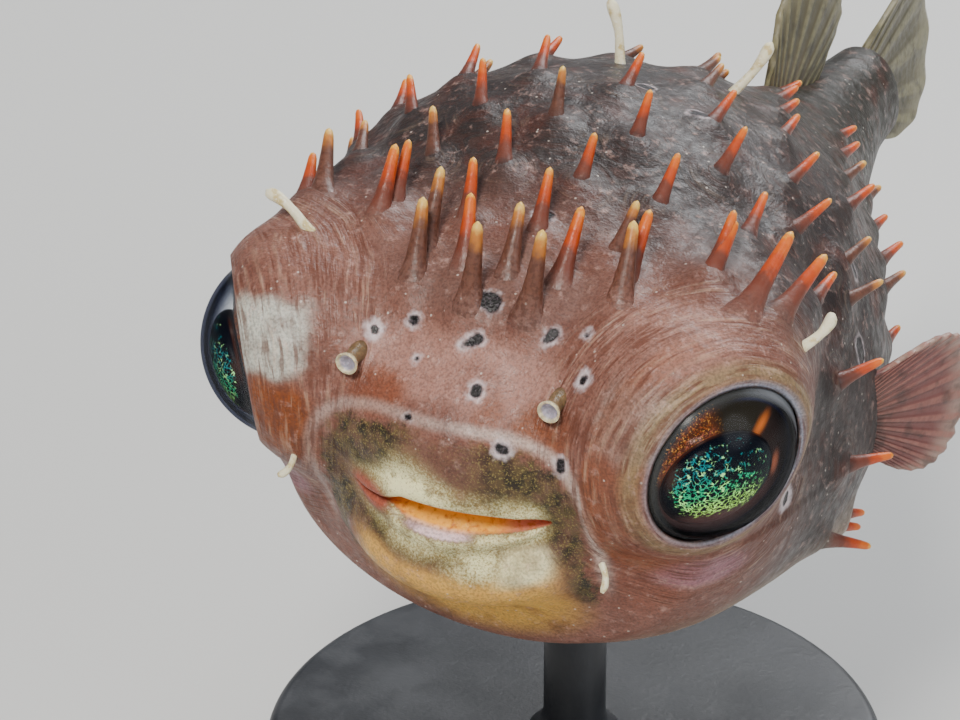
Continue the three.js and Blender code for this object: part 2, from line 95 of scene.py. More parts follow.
EYE_CENTRE = np.array([19.0, 0.0, 0.0])
EYE_FACING = np.array([0.842, -0.523, -0.13])
EYE_FACING /= np.linalg.norm(EYE_FACING)
EYE_ACROSS = np.cross([0, 0, 1], EYE_FACING)
EYE_ACROSS /= np.linalg.norm(EYE_ACROSS)
EYE_UP = np.cross(EYE_FACING, EYE_ACROSS)
EYE_AXES = np.array([EYE_FACING, EYE_ACROSS, EYE_UP])
EYE_RIM = 6.25
EYE_BULGE = 3.6
EYE_RADIUS = (EYE_RIM**2 + EYE_BULGE**2) / (2 * EYE_BULGE)
EYE_SUNK = EYE_RADIUS - EYE_BULGE  # the eyeball's middle behind the plane of the rim
EYE_MOUNT_SINK = 2.9
EYE_MOUNT_RADIUS = 8.4
EYE_MOUNT_FRONT = 5.2
EYE_MOUNT_REAR = 8.6


def node_box(name):
    """Lowest and highest corner of a node in millimetres."""
    low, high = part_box(name)
    return np.array(low) / MM, np.array(high) / MM


def eye_ball_centre(side):
    return sum(node_box(f"eye_{side}")) / 2


# The straight frame's zero, in millimetres in the model: the eyeballs' middles lie behind the rims.
ZERO = (eye_ball_centre("left") + eye_ball_centre("right")) / 2
ZERO = ZERO + EYE_FACING * EYE_SUNK * (0, 1, 1)

# ---------- small mathematics ----------


def smooth(value, low, high):
    """0 below low, 1 above high and smooth between."""
    t = np.clip((value - low) / (high - low), 0, 1)
    return t * t * (3 - 2 * t)


def mix(a, b, share):
    return a + (b - a) * share


def bell(t):
    """A smooth hump from -1 to 1."""
    return np.maximum(1 - t * t, 0) ** 2


def unit(vectors):
    vectors = np.asarray(vectors, float)
    return vectors / np.maximum(np.linalg.norm(vectors, axis=-1, keepdims=True), 1e-12)


def on_left(points):
    """The points mirrored to the fish's left side."""
    return points * np.where(points[..., :1] < 0, (-1, 1, 1), (1, 1, 1))


# ---------- the body's form ----------


def station(column, y):
    """A smooth curve through one column of the stations."""
    at, values = STATIONS[:, 0], STATIONS[:, column]
    slopes = np.empty(len(at))
    slopes[1:-1] = (values[2:] - values[:-2]) / (at[2:] - at[:-2])
    slopes[0] = (values[1] - values[0]) / (at[1] - at[0])
    slopes[-1] = (values[-1] - values[-2]) / (at[-1] - at[-2])
    y = np.clip(y, at[0], at[-1])
    i = np.clip(np.searchsorted(at, y, side="right") - 1, 0, len(at) - 2)
    step = at[i + 1] - at[i]
    t = (y - at[i]) / step
    start = (2 * t**3 - 3 * t**2 + 1) * values[i] + (t**3 - 2 * t**2 + t) * step * slopes[i]
    return start + (3 * t**2 - 2 * t**3) * values[i + 1] + (t**3 - t**2) * step * slopes[i + 1]


def melt(a, b, k):
    """Union of two distances, rounded over the width k."""
    h = np.clip(0.5 + 0.5 * (b - a) / k, 0, 1)
    return b + (a - b) * h - k * h * (1 - h)


def ellipsoid(points, centre, radii):
    """Distance outside an ellipsoid, near enough, negative inside."""
    q = points - np.array(centre, float)
    radii = np.asarray(radii, float)
    k0 = np.linalg.norm(q / radii, axis=-1)
    k1 = np.linalg.norm(q / radii**2, axis=-1)
    return k0 * (k0 - 1) / (k1 + 1e-9)


def trunk(points):
    """Distance outside the trunk, negative inside."""
    x, y, z = np.moveaxis(points, -1, 0)
    width, top, bottom = (station(column, y) for column in (1, 2, 3))
    middle = top * WIDEST + bottom * (1 - WIDEST)
    height = np.where(z > middle, top - middle, middle - bottom)
    reach = np.abs(x / width) ** SQUARENESS + np.abs((z - middle) / height) ** SQUARENESS
    side = (reach ** (1 / SQUARENESS) - 1) * np.minimum(width, height)
    beyond = np.maximum(STATIONS[0, 0] - y, 0) + np.maximum(y - TAIL_END, 0)
    return np.where(beyond > 0, np.hypot(np.maximum(side, 0), beyond), side)


def eye_mount(left):
    """Distance outside the bulge that carries an eye, for points mirrored to the left."""
    q = (left - EYE_CENTRE) @ EYE_AXES.T
    q[..., 0] += EYE_MOUNT_SINK
    deep = np.where(q[..., :1] > 0, EYE_MOUNT_FRONT, EYE_MOUNT_REAR)
    radii = np.concatenate([deep, np.full_like(deep, EYE_MOUNT_RADIUS)], axis=-1)[..., [0, 1, 1]]
    return ellipsoid(q, (0, 0, 0), radii)


def flesh(points):
    """Distance outside the fish's flesh, negative inside."""
    left = on_left(points)
    d = trunk(points)
    d = melt(d, ellipsoid(points, (0, 10, -6), (19.8, 14.4, 14.8)), 5)  # front of the head
    d = melt(d, ellipsoid(points, (0, 8.9, 0.4), (18, 11.8, 8.6)), 5)  # forehead
    d = melt(d, ellipsoid(left, (13.6, 5.4, 3.4), (8.2, 8.6, 5.6)), 4)  # brows
    d = melt(d, ellipsoid(left, (14, 12, 3), (7.4, 8, 6.6)), 4)  # temples
    d = melt(d, ellipsoid(left, (10.5, 1.5, -1), (6, 5.6, 6.4)), 3)  # cheeks
    d = melt(d, ellipsoid(points, (0, 0.9, -0.9), (10.8, 8, 4.4)), 4)  # upper lip
    d = melt(d, ellipsoid(points, (0, 0.8, -7.9), (10.9, 7.9, 5.9)), 1.6)  # lower jaw
    d = melt(d, ellipsoid(left, (9.4, 0.4, -4), (2.4, 3.6, 2.2)), 2)  # corners of the mouth
    return melt(d, eye_mount(left), 3)


def outward(points):
    """Unit directions straight out of the flesh."""
    step = 0.05
    slopes = [flesh(points + step * axis) - flesh(points - step * axis) for axis in np.eye(3)]
    return unit(np.stack(slopes, axis=-1))


def on_skin(points):
    """The points slid straight in or out until they lie on the skin."""
    points = np.array(points, float)
    for _ in range(8):
        points = points - outward(points) * flesh(points)[..., None]
    return points


RAY_REACH = 45
RAY_STEP = 0.5
HALVINGS = 14


def leave(origins, directions, reach=RAY_REACH):
    """Where rays from inside leave the flesh for the last time."""
    inner = np.zeros(directions.shape[:-1])
    for distance in np.arange(RAY_STEP, reach, RAY_STEP):
        inside = flesh(origins + directions * distance) < 0
        inner = np.where(inside, distance, inner)
    return settle(origins, directions, inner, inner + RAY_STEP)


def settle(origins, directions, inner, outer):
    """Halves the stretch between an inner and an outer distance until it closes on the skin."""
    for _ in range(HALVINGS):
        middle = (inner + outer) / 2
        inside = flesh(origins + directions * middle[..., None]) < 0
        inner = np.where(inside, middle, inner)
        outer = np.where(inside, outer, middle)
    return (inner + outer) / 2


def bow(y):
    """How far the trunk is bowed to the fish's right at a station."""
    return -BOW_DEPTH * smooth(y, *BOW_SPAN) * (1 - smooth(y, *BOW_RETURN))


def lip_sag(points):
    """How far the mouth's middle hangs down at each point."""
    x, y, z = np.moveaxis(points, -1, 0)
    across = bell(x / LIP_SAG_REACH[0])
    upward = bell((z - LIP_SAG_LEVEL) / LIP_SAG_REACH[1])
    return LIP_SAG * across * upward * (1 - smooth(y, *LIP_SAG_DEPTH))


def bend(points):
    """From the straight frame, in millimetres, to the model, in metres."""
    points = np.array(points, float)
    sag = lip_sag(points)
    points[..., 0] += bow(points[..., 1])
    points[..., 2] -= sag
    return (points + ZERO) * MM


# ---------- meshes ----------


def ring_faces(rings, columns):
    """Quads between neighbouring rings of a grid that is closed round its columns."""
    ring, column = np.meshgrid(np.arange(rings - 1), np.arange(columns), indexing="ij")
    a = ring * columns + column
    b = ring * columns + (column + 1) % columns
    return np.stack([a, b, b + columns, a + columns], axis=-1).reshape(-1, 4)


def ring_uvs(rings, columns):
    """Where each corner of those quads lies on the unit square."""
    ring, column = np.meshgrid(np.arange(rings - 1), np.arange(columns), indexing="ij")
    corners = [(column, ring), (column + 1, ring), (column + 1, ring + 1), (column, ring + 1)]
    uvs = [np.stack([c / columns, r / (rings - 1)], axis=-1) for c, r in corners]
    return np.stack(uvs, axis=-2).reshape(-1, 4, 2)


def fan(pole, first, columns, flip):
    """Triangles from a pole to one ring, with their place on the unit square."""
    c = np.arange(columns)
    triangles = np.stack([np.full(columns, pole), first + (c + 1) % columns, first + c], axis=-1)
    edge = 0.0 if first == 0 else 1.0
    uvs = [((c + 0.5) / columns, edge), ((c + 1) / columns, edge), (c / columns, edge)]
    uvs = np.stack([np.stack([u, np.full(columns, v)], axis=-1) for u, v in uvs], axis=1)
    return (triangles[:, ::-1], uvs[:, ::-1]) if flip else (triangles, uvs)


def flat_strip(first, columns, flip):
    """Quads that close a flattened ring by joining its two sides."""
    half = columns // 2
    c = np.arange(half)
    other = (columns - c) % columns
    quads = np.stack([first + c, first + c + 1, first + (other - 1) % columns, first + other], axis=-1)
    uvs = np.zeros((half, 4, 2))
    uvs[..., 0] = (quads - first) / columns
    uvs[..., 1] = 0.0 if first == 0 else 1.0
    return (quads[:, ::-1], uvs[:, ::-1]) if flip else (quads, uvs)


def lofted(name, rings, material, start, end, values=None):
    """A closed piece from rings of points in metres. start and end are pole points or "flat"."""
    count, columns = rings.shape[:2]
    points = [rings.reshape(-1, 3)]
    faces, uvs = [ring_faces(count, columns)], [ring_uvs(count, columns)]
    pole = count * columns
    for closing, first, turned_over in ((start, 0, False), (end, (count - 1) * columns, True)):
        if isinstance(closing, str):
            cap = flat_strip(first, columns, not turned_over)
        else:
            points.append(np.reshape(closing, (1, 3)))
            cap = fan(pole, first, columns, turned_over)
            pole += 1
        faces.append(cap[0])
        uvs.append(cap[1])
    mesh = bpy.data.meshes.new(name)
    faces = [face for block in faces for face in block.tolist()]
    mesh.from_pydata(np.concatenate(points).tolist(), [], faces)
    flat_uvs = np.concatenate([block.reshape(-1, 2) for block in uvs])
    layer = mesh.uv_layers.new(name="OFBake")
    layer.uv.foreach_set("vector", np.clip(flat_uvs, 0, 1).ravel())
    for key, value in (values or {}).items():
        store(mesh, key, value)
    return finished(name, mesh, material)


def store(mesh, key, values):
    """Keeps one number or one colour for every point of a mesh; poles repeat the last one."""
    values = np.asarray(values, np.float32)
    flat = values.reshape(-1, values.shape[-1]) if values.shape[-1] == 4 else values.reshape(-1)
    spare = len(mesh.vertices) - len(flat)
    if spare:
        flat = np.concatenate([flat, np.repeat(flat[-1:], spare, axis=0)])
    kind, part = ("FLOAT_COLOR", "color") if flat.ndim == 2 else ("FLOAT", "value")
    attribute = mesh.attributes.new(key, kind, "POINT")
    attribute.data.foreach_set(part, flat.ravel())


def finished(name, mesh, material):
    """Puts a mesh in the scene with its material and rounded shading."""
    mesh.materials.append(material)
    mesh.polygons.foreach_set("use_smooth", np.ones(len(mesh.polygons), bool))
    mesh.update()
    solid = bmesh.new()
    solid.from_mesh(mesh)
    if solid.calc_volume(signed=True) < 0:
        mesh.flip_normals()
    solid.free()
    made = bpy.data.objects.new(name, mesh)
    bpy.context.scene.collection.objects.link(made)
    return made


def settled(piece, slot, *nodes):
    """Makes a piece ride with the body and stand for its nodes."""
    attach(piece, BODY)
    if nodes:
        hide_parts(*nodes)
    return piece


def basis(along):
    """Three unit axes, the last one along a direction and the first one sideways."""
    z = unit(along)
    y = unit(np.cross(z, (1, 0, 0)))
    return np.array([np.cross(y, z), y, z])


def turned_rings(profile, sides):
    """Rings of a turned shape round +Z from pairs of radius and height."""
    angles = np.arange(sides) / sides * 2 * math.pi
    circle = np.stack([np.cos(angles), np.sin(angles)], axis=-1)
    profile = np.asarray(profile, float)
    flat = profile[:, None, :1] * circle
    heights = np.broadcast_to(profile[:, None, 1:], flat.shape[:2] + (1,))
    return np.concatenate([flat, heights], axis=-1)


# ---------- colours and shader nodes ----------


def linear(red, green, blue):
    """A colour given from 0 to 255, as light."""
    share = np.array([red, green, blue]) / 255
    return np.where(share <= 0.04045, share / 12.92, ((share + 0.055) / 1.055) ** 2.4)


def shade(red, green, blue):
    return (*linear(red, green, blue), 1.0)


class Nodes:
    """A material's node tree, with short calls for the nodes that it needs."""

    def __init__(self, name):
        self.material = bpy.data.materials.new(name)
        self.material.use_nodes = True
        self.tree = self.material.node_tree
        self.tree.nodes.clear()
        self.output = self.tree.nodes.new("ShaderNodeOutputMaterial")
        self.place = self.new("ShaderNodeTexCoord").outputs["Object"]

    def new(self, kind, **settings):
        node = self.tree.nodes.new(kind)
        for key, value in settings.items():
            setattr(node, key, value)
        return node

    def feed(self, socket, value):
        if isinstance(value, bpy.types.NodeSocket):
            self.tree.links.new(value, socket)
        else:
            socket.default_value = value

    def attribute(self, name, colour=False):
        node = self.new("ShaderNodeAttribute", attribute_name=name)
        return node.outputs["Color" if colour else "Fac"]

    def math(self, operation, a, b=0.0, clamp=False):
        node = self.new("ShaderNodeMath", operation=operation, use_clamp=clamp)
        self.feed(node.inputs[0], a)
        self.feed(node.inputs[1], b)
        return node.outputs[0]

    def ramp(self, value, low, high, start=0.0, stop=1.0):
        """A smooth step from start to stop."""
        node = self.new("ShaderNodeMapRange", interpolation_type="SMOOTHSTEP")
        for socket, number in zip(node.inputs, (value, low, high, start, stop)):
            self.feed(socket, number)
        return node.outputs[0]

    def noise(self, size, detail=2.0, vector=None, roughness=0.5):
        """Noise with lumps of about that many millimetres."""
        node = self.new("ShaderNodeTexNoise")
        self.feed(node.inputs["Vector"], vector or self.place)
        self.feed(node.inputs["Scale"], 1 / (size * MM))
        self.feed(node.inputs["Detail"], detail)
        self.feed(node.inputs["Roughness"], roughness)
        return node.outputs["Fac"]

    def cells(self, size, feature="F1", vector=None):
        node = self.new("ShaderNodeTexVoronoi", feature=feature)
        self.feed(node.inputs["Vector"], vector or self.place)
        self.feed(node.inputs["Scale"], 1 / (size * MM))
        return node.outputs["Distance"]

    def blend(self, a, b, share):
        node = self.new("ShaderNodeMix", data_type="RGBA")
        self.feed(node.inputs[0], share)
        self.feed(node.inputs[6], a)
        self.feed(node.inputs[7], b)
        return node.outputs[2]

    def bump(self, height, depth, normal=None):
        """Relief whose full height is depth in millimetres."""
        node = self.new("ShaderNodeBump")
        self.feed(node.inputs["Strength"], 1.0)
        self.feed(node.inputs["Distance"], depth * MM)
        self.feed(node.inputs["Height"], height)
        if normal is not None:
            self.feed(node.inputs["Normal"], normal)
        return node.outputs[0]

    def surface(self, **sockets):
        """The Principled surface; its sockets are given by their names with _ for spaces."""
        node = self.new("ShaderNodeBsdfPrincipled")
        for key, value in sockets.items():
            self.feed(node.inputs[key.replace("_", " ")], value)
        self.feed(self.output.inputs["Surface"], node.outputs[0])
        return node

    def clear_over(self, colour, least, most, roughness):
        """A clear film: what is behind it and a mirror that grows towards grazing views."""
        clear = self.new("ShaderNodeBsdfTransparent")
        self.feed(clear.inputs["Color"], colour)
        gloss = self.new("ShaderNodeBsdfGlossy")
        self.feed(gloss.inputs["Roughness"], roughness)
        facing = self.new("ShaderNodeLayerWeight").outputs["Facing"]
        mirror = self.math("MULTIPLY", self.math("POWER", facing, 4.0), most)
        shine = self.new("ShaderNodeMixShader")
        self.feed(shine.inputs[0], self.math("ADD", mirror, least))
        self.feed(shine.inputs[1], clear.outputs[0])
        self.feed(shine.inputs[2], gloss.outputs[0])
        self.feed(self.output.inputs["Surface"], shine.outputs[0])
        return clear, shine


# ---------- spines: where they stand ----------

# Rows from the forehead back: station on the midline, how fast the row sweeps back with distance from
# the midline, pitch along the row, share of the pitch left of the midline where it starts, how far
# round the body it goes in radians from straight up, spine length, lean from upright in radians.
SPINE_ROWS = (
    (-0.4, 0.042, 4.5, 0.8, 0.86, 6.4, 0.98),
    (2.0, 0.04, 3.5, 0.3, 0.94, 5.8, 1.1),
    (6.2, 0.012, 5.7, 0.25, 1.0, 5.0, 1.12),
    (12.2, 0.014, 6.0, 0.45, 1.9, 4.6, 1.15),
    (18.0, 0.012, 6.4, 0.9, math.pi, 4.2, 1.15),
    (24.4, 0.006, 7.0, 0.4, math.pi, 4.0, 1.2),
    (31.0, 0.004, 7.0, 0.9, math.pi, 3.8, 1.2),
    (37.4, 0, 7.0, 0.4, math.pi, 3.6, 1.2),
    (43.6, 0, 6.6, 0.9, math.pi, 3.3, 1.2),
    (49.4, 0, 6.0, 0.4, math.pi, 3.0, 1.2),
)
BODY_MIDDLE = -8
NODE_CUTS = (9.8, 27.6, 54)
CUT_MARGIN = 2.2
BELLY_LEVEL = -16
BELLY_SPINE = 0.7
FEELER_ROOM = 3
PECTORAL_ROOT = np.array([23.2, 27, -8.4])
PECTORAL_ROOM = 6

# Feelers: root, direction, length.
FEELERS = {
    "brow_right": ((-15.7, 2.8, 9.4), (-3.2, 0.8, 1.9), 4.2),
    "brow_left": ((19.4, 8.4, 4.6), (1.2, 1.8, 0.9), 3.6),
    "back_right": ((-1.3, 32.6, 13.2), (-1.2, 1.2, 4.7), 5.0),
    "back_left": ((6.6, 36, 11.2), (2, 2.4, 3.4), 4.7),
    "cheek_left": ((10.8, -2.2, -8.2), (0.9, -0.9, -1.6), 2.2),
    "cheek_right": ((-12.9, -4.6, -4.8), (-0.6, -0.8, -1.9), 2.0),
}


def skin_at(y, angle):
    """The skin at a station, at an angle from straight up round the body's middle."""
    y, angle = np.broadcast_arrays(np.asarray(y, float), np.asarray(angle, float))
    origins = np.stack([0 * y, y, 0 * y + BODY_MIDDLE], axis=-1)
    directions = np.stack([np.sin(angle), 0 * angle, np.cos(angle)], axis=-1)
    return origins + directions * leave(origins, directions)[..., None]


def spine_places():
    """Roots, directions and lengths of all spines, in the straight frame."""
    radii = skin_at([row[0] for row in SPINE_ROWS], 0)[:, 2] - BODY_MIDDLE
    places = []
    for (station_y, sweep, pitch, shift, far, length, lean), radius in zip(SPINE_ROWS, radii):
        end = min(far * radius, math.pi * radius - pitch * 0.4)
        for side in (1, -1):
            first = (shift if side > 0 else 1 - shift) * pitch
            for along in np.arange(first, end, pitch):
                angle = along * side / radius
                across = radius * math.sin(min(abs(angle), math.pi / 2))
                y = station_y + sweep * across**2
                for cut in NODE_CUTS:
                    if abs(y - cut) < CUT_MARGIN:
                        y = cut + (-CUT_MARGIN if station_y < cut else CUT_MARGIN)
                places.append((y, angle, length, lean))
    y, angle, length, lean = np.array(places).T
    roots = skin_at(y, angle)
    normals = outward(roots)
    back = unit(np.array([0, 1, 0]) - normals * normals[:, 1:2])
    along = normals * np.cos(lean)[:, None] + back * np.sin(lean)[:, None]
    length = length * np.where(roots[:, 2] < BELLY_LEVEL, BELLY_SPINE, 1)
    keep = clear_of_features(roots, along, length)
    return roots[keep], along[keep], length[keep], normals[keep]


def clear_of_features(roots, along, length):
    """True for spines that stand clear of the eyes, the pectoral fins and the feelers."""
    left = on_left(roots)
    near_fin = (left[:, 0] > 12) & (np.linalg.norm((left - PECTORAL_ROOT)[:, 1:], axis=1) < PECTORAL_ROOM)
    near_eye = np.linalg.norm(left - EYE_CENTRE, axis=1) < EYE_RADIUS + 2
    feet = np.array([feeler[0] for feeler in FEELERS.values()])
    middles = roots + along * length[:, None] / 2
    near_feeler = np.zeros(len(roots), bool)
    for points in (roots, middles):
        near_feeler |= np.linalg.norm(points[:, None] - feet, axis=2).min(axis=1) < FEELER_ROOM
    return ~near_fin & ~near_eye & ~near_feeler


SPINE_ROOTS, SPINE_ALONG, SPINE_LENGTHS, SPINE_NORMALS = spine_places()

# ---------- markings, shared by skin, spines and fins ----------

# Patches of colour: colour, centre, radii, strength on the fish's left and on its right.
PATCHES = (
    (linear(166, 122, 108), (15, 0, 8.5), (5.5, 4.5, 3.5), 0.6, 0.1),  # brow
    (linear(112, 84, 76), (0, 2.5, 8.5), (10, 4.5, 3.4), 0.6, 0.6),  # between the first spines
    (linear(188, 140, 126), (2.5, -3.6, 4.2), (6.5, 4, 2.6), 0.6, 0.6),  # middle of the forehead, paler: a painted highlight
    (linear(138, 76, 44), (7.4, -4.9, 1.9), (2.4, 3, 1.9), 0.85, 0),  # below the left nostril
    (linear(136, 80, 58), (3.4, -5.5, 1.9), (1.2, 3, 1.9), 0.75, 0),  # left of the middle
    (linear(136, 76, 52), (5.7, -5.1, 2.1), (2.7, 3, 1.7), 0, 0.9),  # below the right nostril
    (linear(126, 72, 54), (13.2, -1.5, -9), (5.5, 6, 5.5), 0.65, 0.65),  # lower cheek
    (linear(168, 120, 136), (17.2, 1.6, -10), (4, 4, 1.6), 0.6, 0.6),  # fold under the eye
    (linear(226, 174, 80), (0, -1.5, -14.5), (9, 6, 4.2), 0.9, 0.9),  # chin
)
# Patches with a firm edge beside the eyes.
FIELDS = (
    (linear(204, 204, 192), (14.6, -4.5, 4.2), (3.2, 4.8, 2.6), 0.15, 0.95),  # pale field
    (linear(134, 66, 20), (14.2, -5, -1.7), (3.6, 4.6, 3.2), 0.45, 0.95),  # orange under it
)
HEAD_TONE = linear(134, 90, 77)
# The back and rear are darker: partly the skin's own tone, partly painted shade where the light falls off
# towards the tail.
BACK_TONE_AND_SHADE = linear(48, 40, 39)
REAR_TONE_AND_SHADE = linear(44, 41, 34)
BELLY_TONE = linear(190, 172, 152)
MASK_CENTRE = (-0.25, -8.3)
MASK_RADII = (10.6, 9.1)

# Dark pores: centre, radius of the dark, radius of the pale ring round it, half length of an oval one.
PORES = (
    ((-7.3, -2.2, 5.3), 0.36, 0.84, (0, 0, 0)),
    ((-4.6, -1.2, 6.2), 0.46, 0.72, (0, 0, 0)),
    ((0.3, -1.9, 5.9), 0.42, 0.64, (0.5, 0.1, 0.35)),
    ((0.7, 0.3, 8.0), 0.94, 1.04, (0.25, 0, 0)),
    ((5.8, -0.5, 6.9), 0.42, 0.58, (0.25, 0.1, 0.4)),
    ((8.6, -0.1, 7.6), 0.34, 0.56, (0, 0, 0)),
    ((-3.4, -3.1, 4.3), 0.2, 0.5, (0, 0, 0)),
    ((1.9, -4.2, 3.5), 0.44, 0.74, (0, 0, 0.15)),
    ((9.6, -2.9, 5.6), 0.36, 0.8, (0, 0, 0.15)),
    ((4.9, -6.1, 0.6), 0.34, 0.66, (0.2, 0, 0)),
    ((9.1, -5.5, 0.0), 0.34, 0.54, (0, 0, 0.2)),
    ((-2.5, -6.2, 1.3), 0.22, 0.26, (0.15, 0, 0)),
    ((1.1, 8.4, 11.5), 0.5, 0.62, (0.5, 0, 0)),
    ((22.9, 23.8, -1.8), 0.7, 0.85, (0, 0, 0.5)),
    ((20.7, 8.5, -6.6), 0.42, 1.0, (0, 0, 0.2)),
    ((20.7, 26.9, 3.1), 0.7, 0.85, (0, 0, 0.4)),
    ((8.7, 25.4, 13.4), 0.75, 0.95, (0.3, 0, 0)),
    ((3.6, 26.8, 14.4), 0.6, 0.8, (0.2, 0, 0)),
)


def mask_field(points):
    """1 on the edge of the dark field round the mouth, less inside it."""
    x, y, z = np.moveaxis(points, -1, 0)
    across = np.abs(x - MASK_CENTRE[0]) / MASK_RADII[0]
    upward = np.abs(z - MASK_CENTRE[1]) / MASK_RADII[1]
    return (across**4 + upward**4) ** 0.25 + smooth(y, 1, 6)


MASK_HALO = 0.065  # half width of the pale line round the dark field


def tones(points):
    """The skin's colour at points of the straight frame, before the lips' and lids' own."""
    x, y, z = np.moveaxis(points, -1, 0)
    colour = mix(HEAD_TONE, BACK_TONE_AND_SHADE, smooth(y, 1, 15)[..., None])
    colour = mix(colour, REAR_TONE_AND_SHADE, smooth(y, 24, 50)[..., None])
    colour = mix(colour, BELLY_TONE, (0.85 * smooth(-z, 13, 20) * smooth(y, 0, 9))[..., None])
    for patch_colour, centre, radii, on_its_left, on_its_right in PATCHES:
        reach = np.linalg.norm((on_left(points) - centre) / radii, axis=-1)
        strength = mix(on_its_right, on_its_left, smooth(x, -1, 1))
        if centre[0] == 0:
            reach = np.linalg.norm((points - centre) / radii, axis=-1)
        colour = mix(colour, patch_colour, ((1 - smooth(reach, 0.6, 1.2)) * strength)[..., None])
    ragged = 0.2 * np.sin(points[..., [1, 2, 0]] * 2.3 + 1) + 0.1 * np.sin(points[..., [2, 0, 1]] * 5.1)
    for patch_colour, centre, radii, on_its_left, on_its_right in FIELDS:
        reach = (np.abs((on_left(points) + ragged - centre) / radii) ** 4).sum(axis=-1) ** 0.25
        strength = mix(on_its_right, on_its_left, smooth(x, -1, 1))
        colour = mix(colour, patch_colour, ((1 - smooth(reach, 0.74, 1.14)) * strength)[..., None])
    edge = bell((mask_field(points) - 1.06) / MASK_HALO) * smooth(z, -13, -9)
    edge = edge * mix(0.4, 0.7, smooth(x, -2, 4))
    colour = mix(colour, linear(208, 188, 178), edge[..., None])
    return np.concatenate([colour, np.ones_like(colour[..., :1])], axis=-1)


def pore_fields(points):
    """How far outside the nearest pore's dark and pale edge each point is, in millimetres."""
    dark = np.full(points.shape[:-1], 9.0)
    pale = dark.copy()
    for centre, radius, ring, half in PORES:
        half = np.array(half)
        q = points - on_skin(np.array([centre]))[0]
        share = np.clip(q @ half / max(half @ half, 1e-6), -1, 1)
        distance = np.linalg.norm(q - share[..., None] * half, axis=-1)
        dark = np.minimum(dark, distance - radius)
        pale = np.minimum(pale, distance - ring)
    return dark, pale


def fold_fields(points):
    """Distance along which the fine folds repeat, in millimetres, and how deep they are."""
    x, y = points[..., 0], points[..., 1]
    from_eye = np.linalg.norm(on_left(points) - EYE_CENTRE, axis=-1)
    near = np.full(points.shape[:-1], 0.0)
    for root in SPINE_ROOTS:
        near += np.exp(-np.linalg.norm(points - root, axis=-1) / 0.8)
    from_spine = -0.8 * np.log(near + 1e-9)
    by_eye = 1 - smooth(from_eye, 13, 17)
    field = mix(from_spine, from_eye, by_eye)
    depth = mix(0.3 * (1 - smooth(from_spine, 2.6, 4)), 1.0, by_eye)
    depth = depth * (1 - bell((from_eye - 15) / 2.4))
    depth = depth * mix(1, 0.4, bell(x / 9) * (1 - smooth(y, 0, 3)))
    return field, depth * (1 - smooth(y, 50, 60))


# ---------- the skin's mesh ----------

COLUMNS = 384
POCKET_RINGS = 14
FACE_RINGS = 128
TRUNK_RINGS = 92
TAIL_RINGS = 6
HEAD_ORIGIN = np.array([0, 8, MOUTH_LEVEL])
TAIL_ORIGIN_LEVEL = -2.6
SLIT = 0.57  # half the mouth's width as an angle
LIP_OPEN = 0.1  # how far the mouth's slit is spread
LIPS_SHUT = 0.85  # how far the lips close again at the fish's right corner
LIP_RINGS = 16  # rings of the face that follow them
COARSE = 4  # every fourth ring and column is found first
GUESS_MARGIN = 3  # how far the skin may lie from that coarse guess

EYE_RINGS = 18  # rings of the grid between the eye's middle and its rim
EYE_ROUND = 26  # up to this ring the grid runs in circles round the eye
EYE_BLEND = 44  # from this ring on it is undisturbed
EYE_REACH = 40  # how far the rays through that stretch look for the skin
LID_RADIUS = 6.5
LID_PITCH = 0.27
LID_CLEARANCE = 0.15
LID_CREST = 0.28  # how far the lid's crest stands in front of the rim
LID_FLARE = (0.35, 0.9)  # highest skin at the lid, and how fast that rises away from it
LID_TUCK = 0.965  # where the socket's lining starts, as a share of the lid's radius


def column_angles():
    return np.arange(COLUMNS) / COLUMNS * 2 * math.pi


def face_directions():
    """Ray directions that open from the mouth's slit to a full circle."""
    share = np.linspace(0, 1, FACE_RINGS, endpoint=False)
    widest = math.acosh(math.pi / 2 / SLIT)
    spread = mix(LIP_OPEN, widest, share)[:, None]
    angle = column_angles()[None, :]
    across = SLIT * np.cosh(spread) * np.cos(angle)
    upward = SLIT * np.sinh(spread) * np.sin(angle)
    rounding = smooth(share, 0.6, 1)[:, None]
    away = mix(np.hypot(across, upward), math.pi / 2, rounding)
    found = np.arctan2(upward, across)
    turn = (angle - found + math.pi) % (2 * math.pi) - math.pi
    heading = found + turn * rounding
    flat = np.sin(away)
    return np.stack([flat * np.cos(heading), -np.cos(away), flat * np.sin(heading)], axis=-1)


def outer_rays():
    """Origins and directions of the rays through the face and trunk."""
    face = face_directions()
    share = np.linspace(0, 1, TRUNK_RINGS)
    origins = np.stack(
        [0 * share, mix(HEAD_ORIGIN[1], TAIL_END, share), mix(HEAD_ORIGIN[2], TAIL_ORIGIN_LEVEL, share)],
        axis=-1,
    )
    angle = column_angles()
    around = np.stack([np.cos(angle), 0 * angle, np.sin(angle)], axis=-1)
    origins = np.broadcast_to(origins[:, None], (TRUNK_RINGS, COLUMNS, 3))
    directions = np.broadcast_to(around[None], (TRUNK_RINGS, COLUMNS, 3))
    origins = np.concatenate([np.broadcast_to(HEAD_ORIGIN, face.shape), origins])
    return origins, np.concatenate([face, directions])


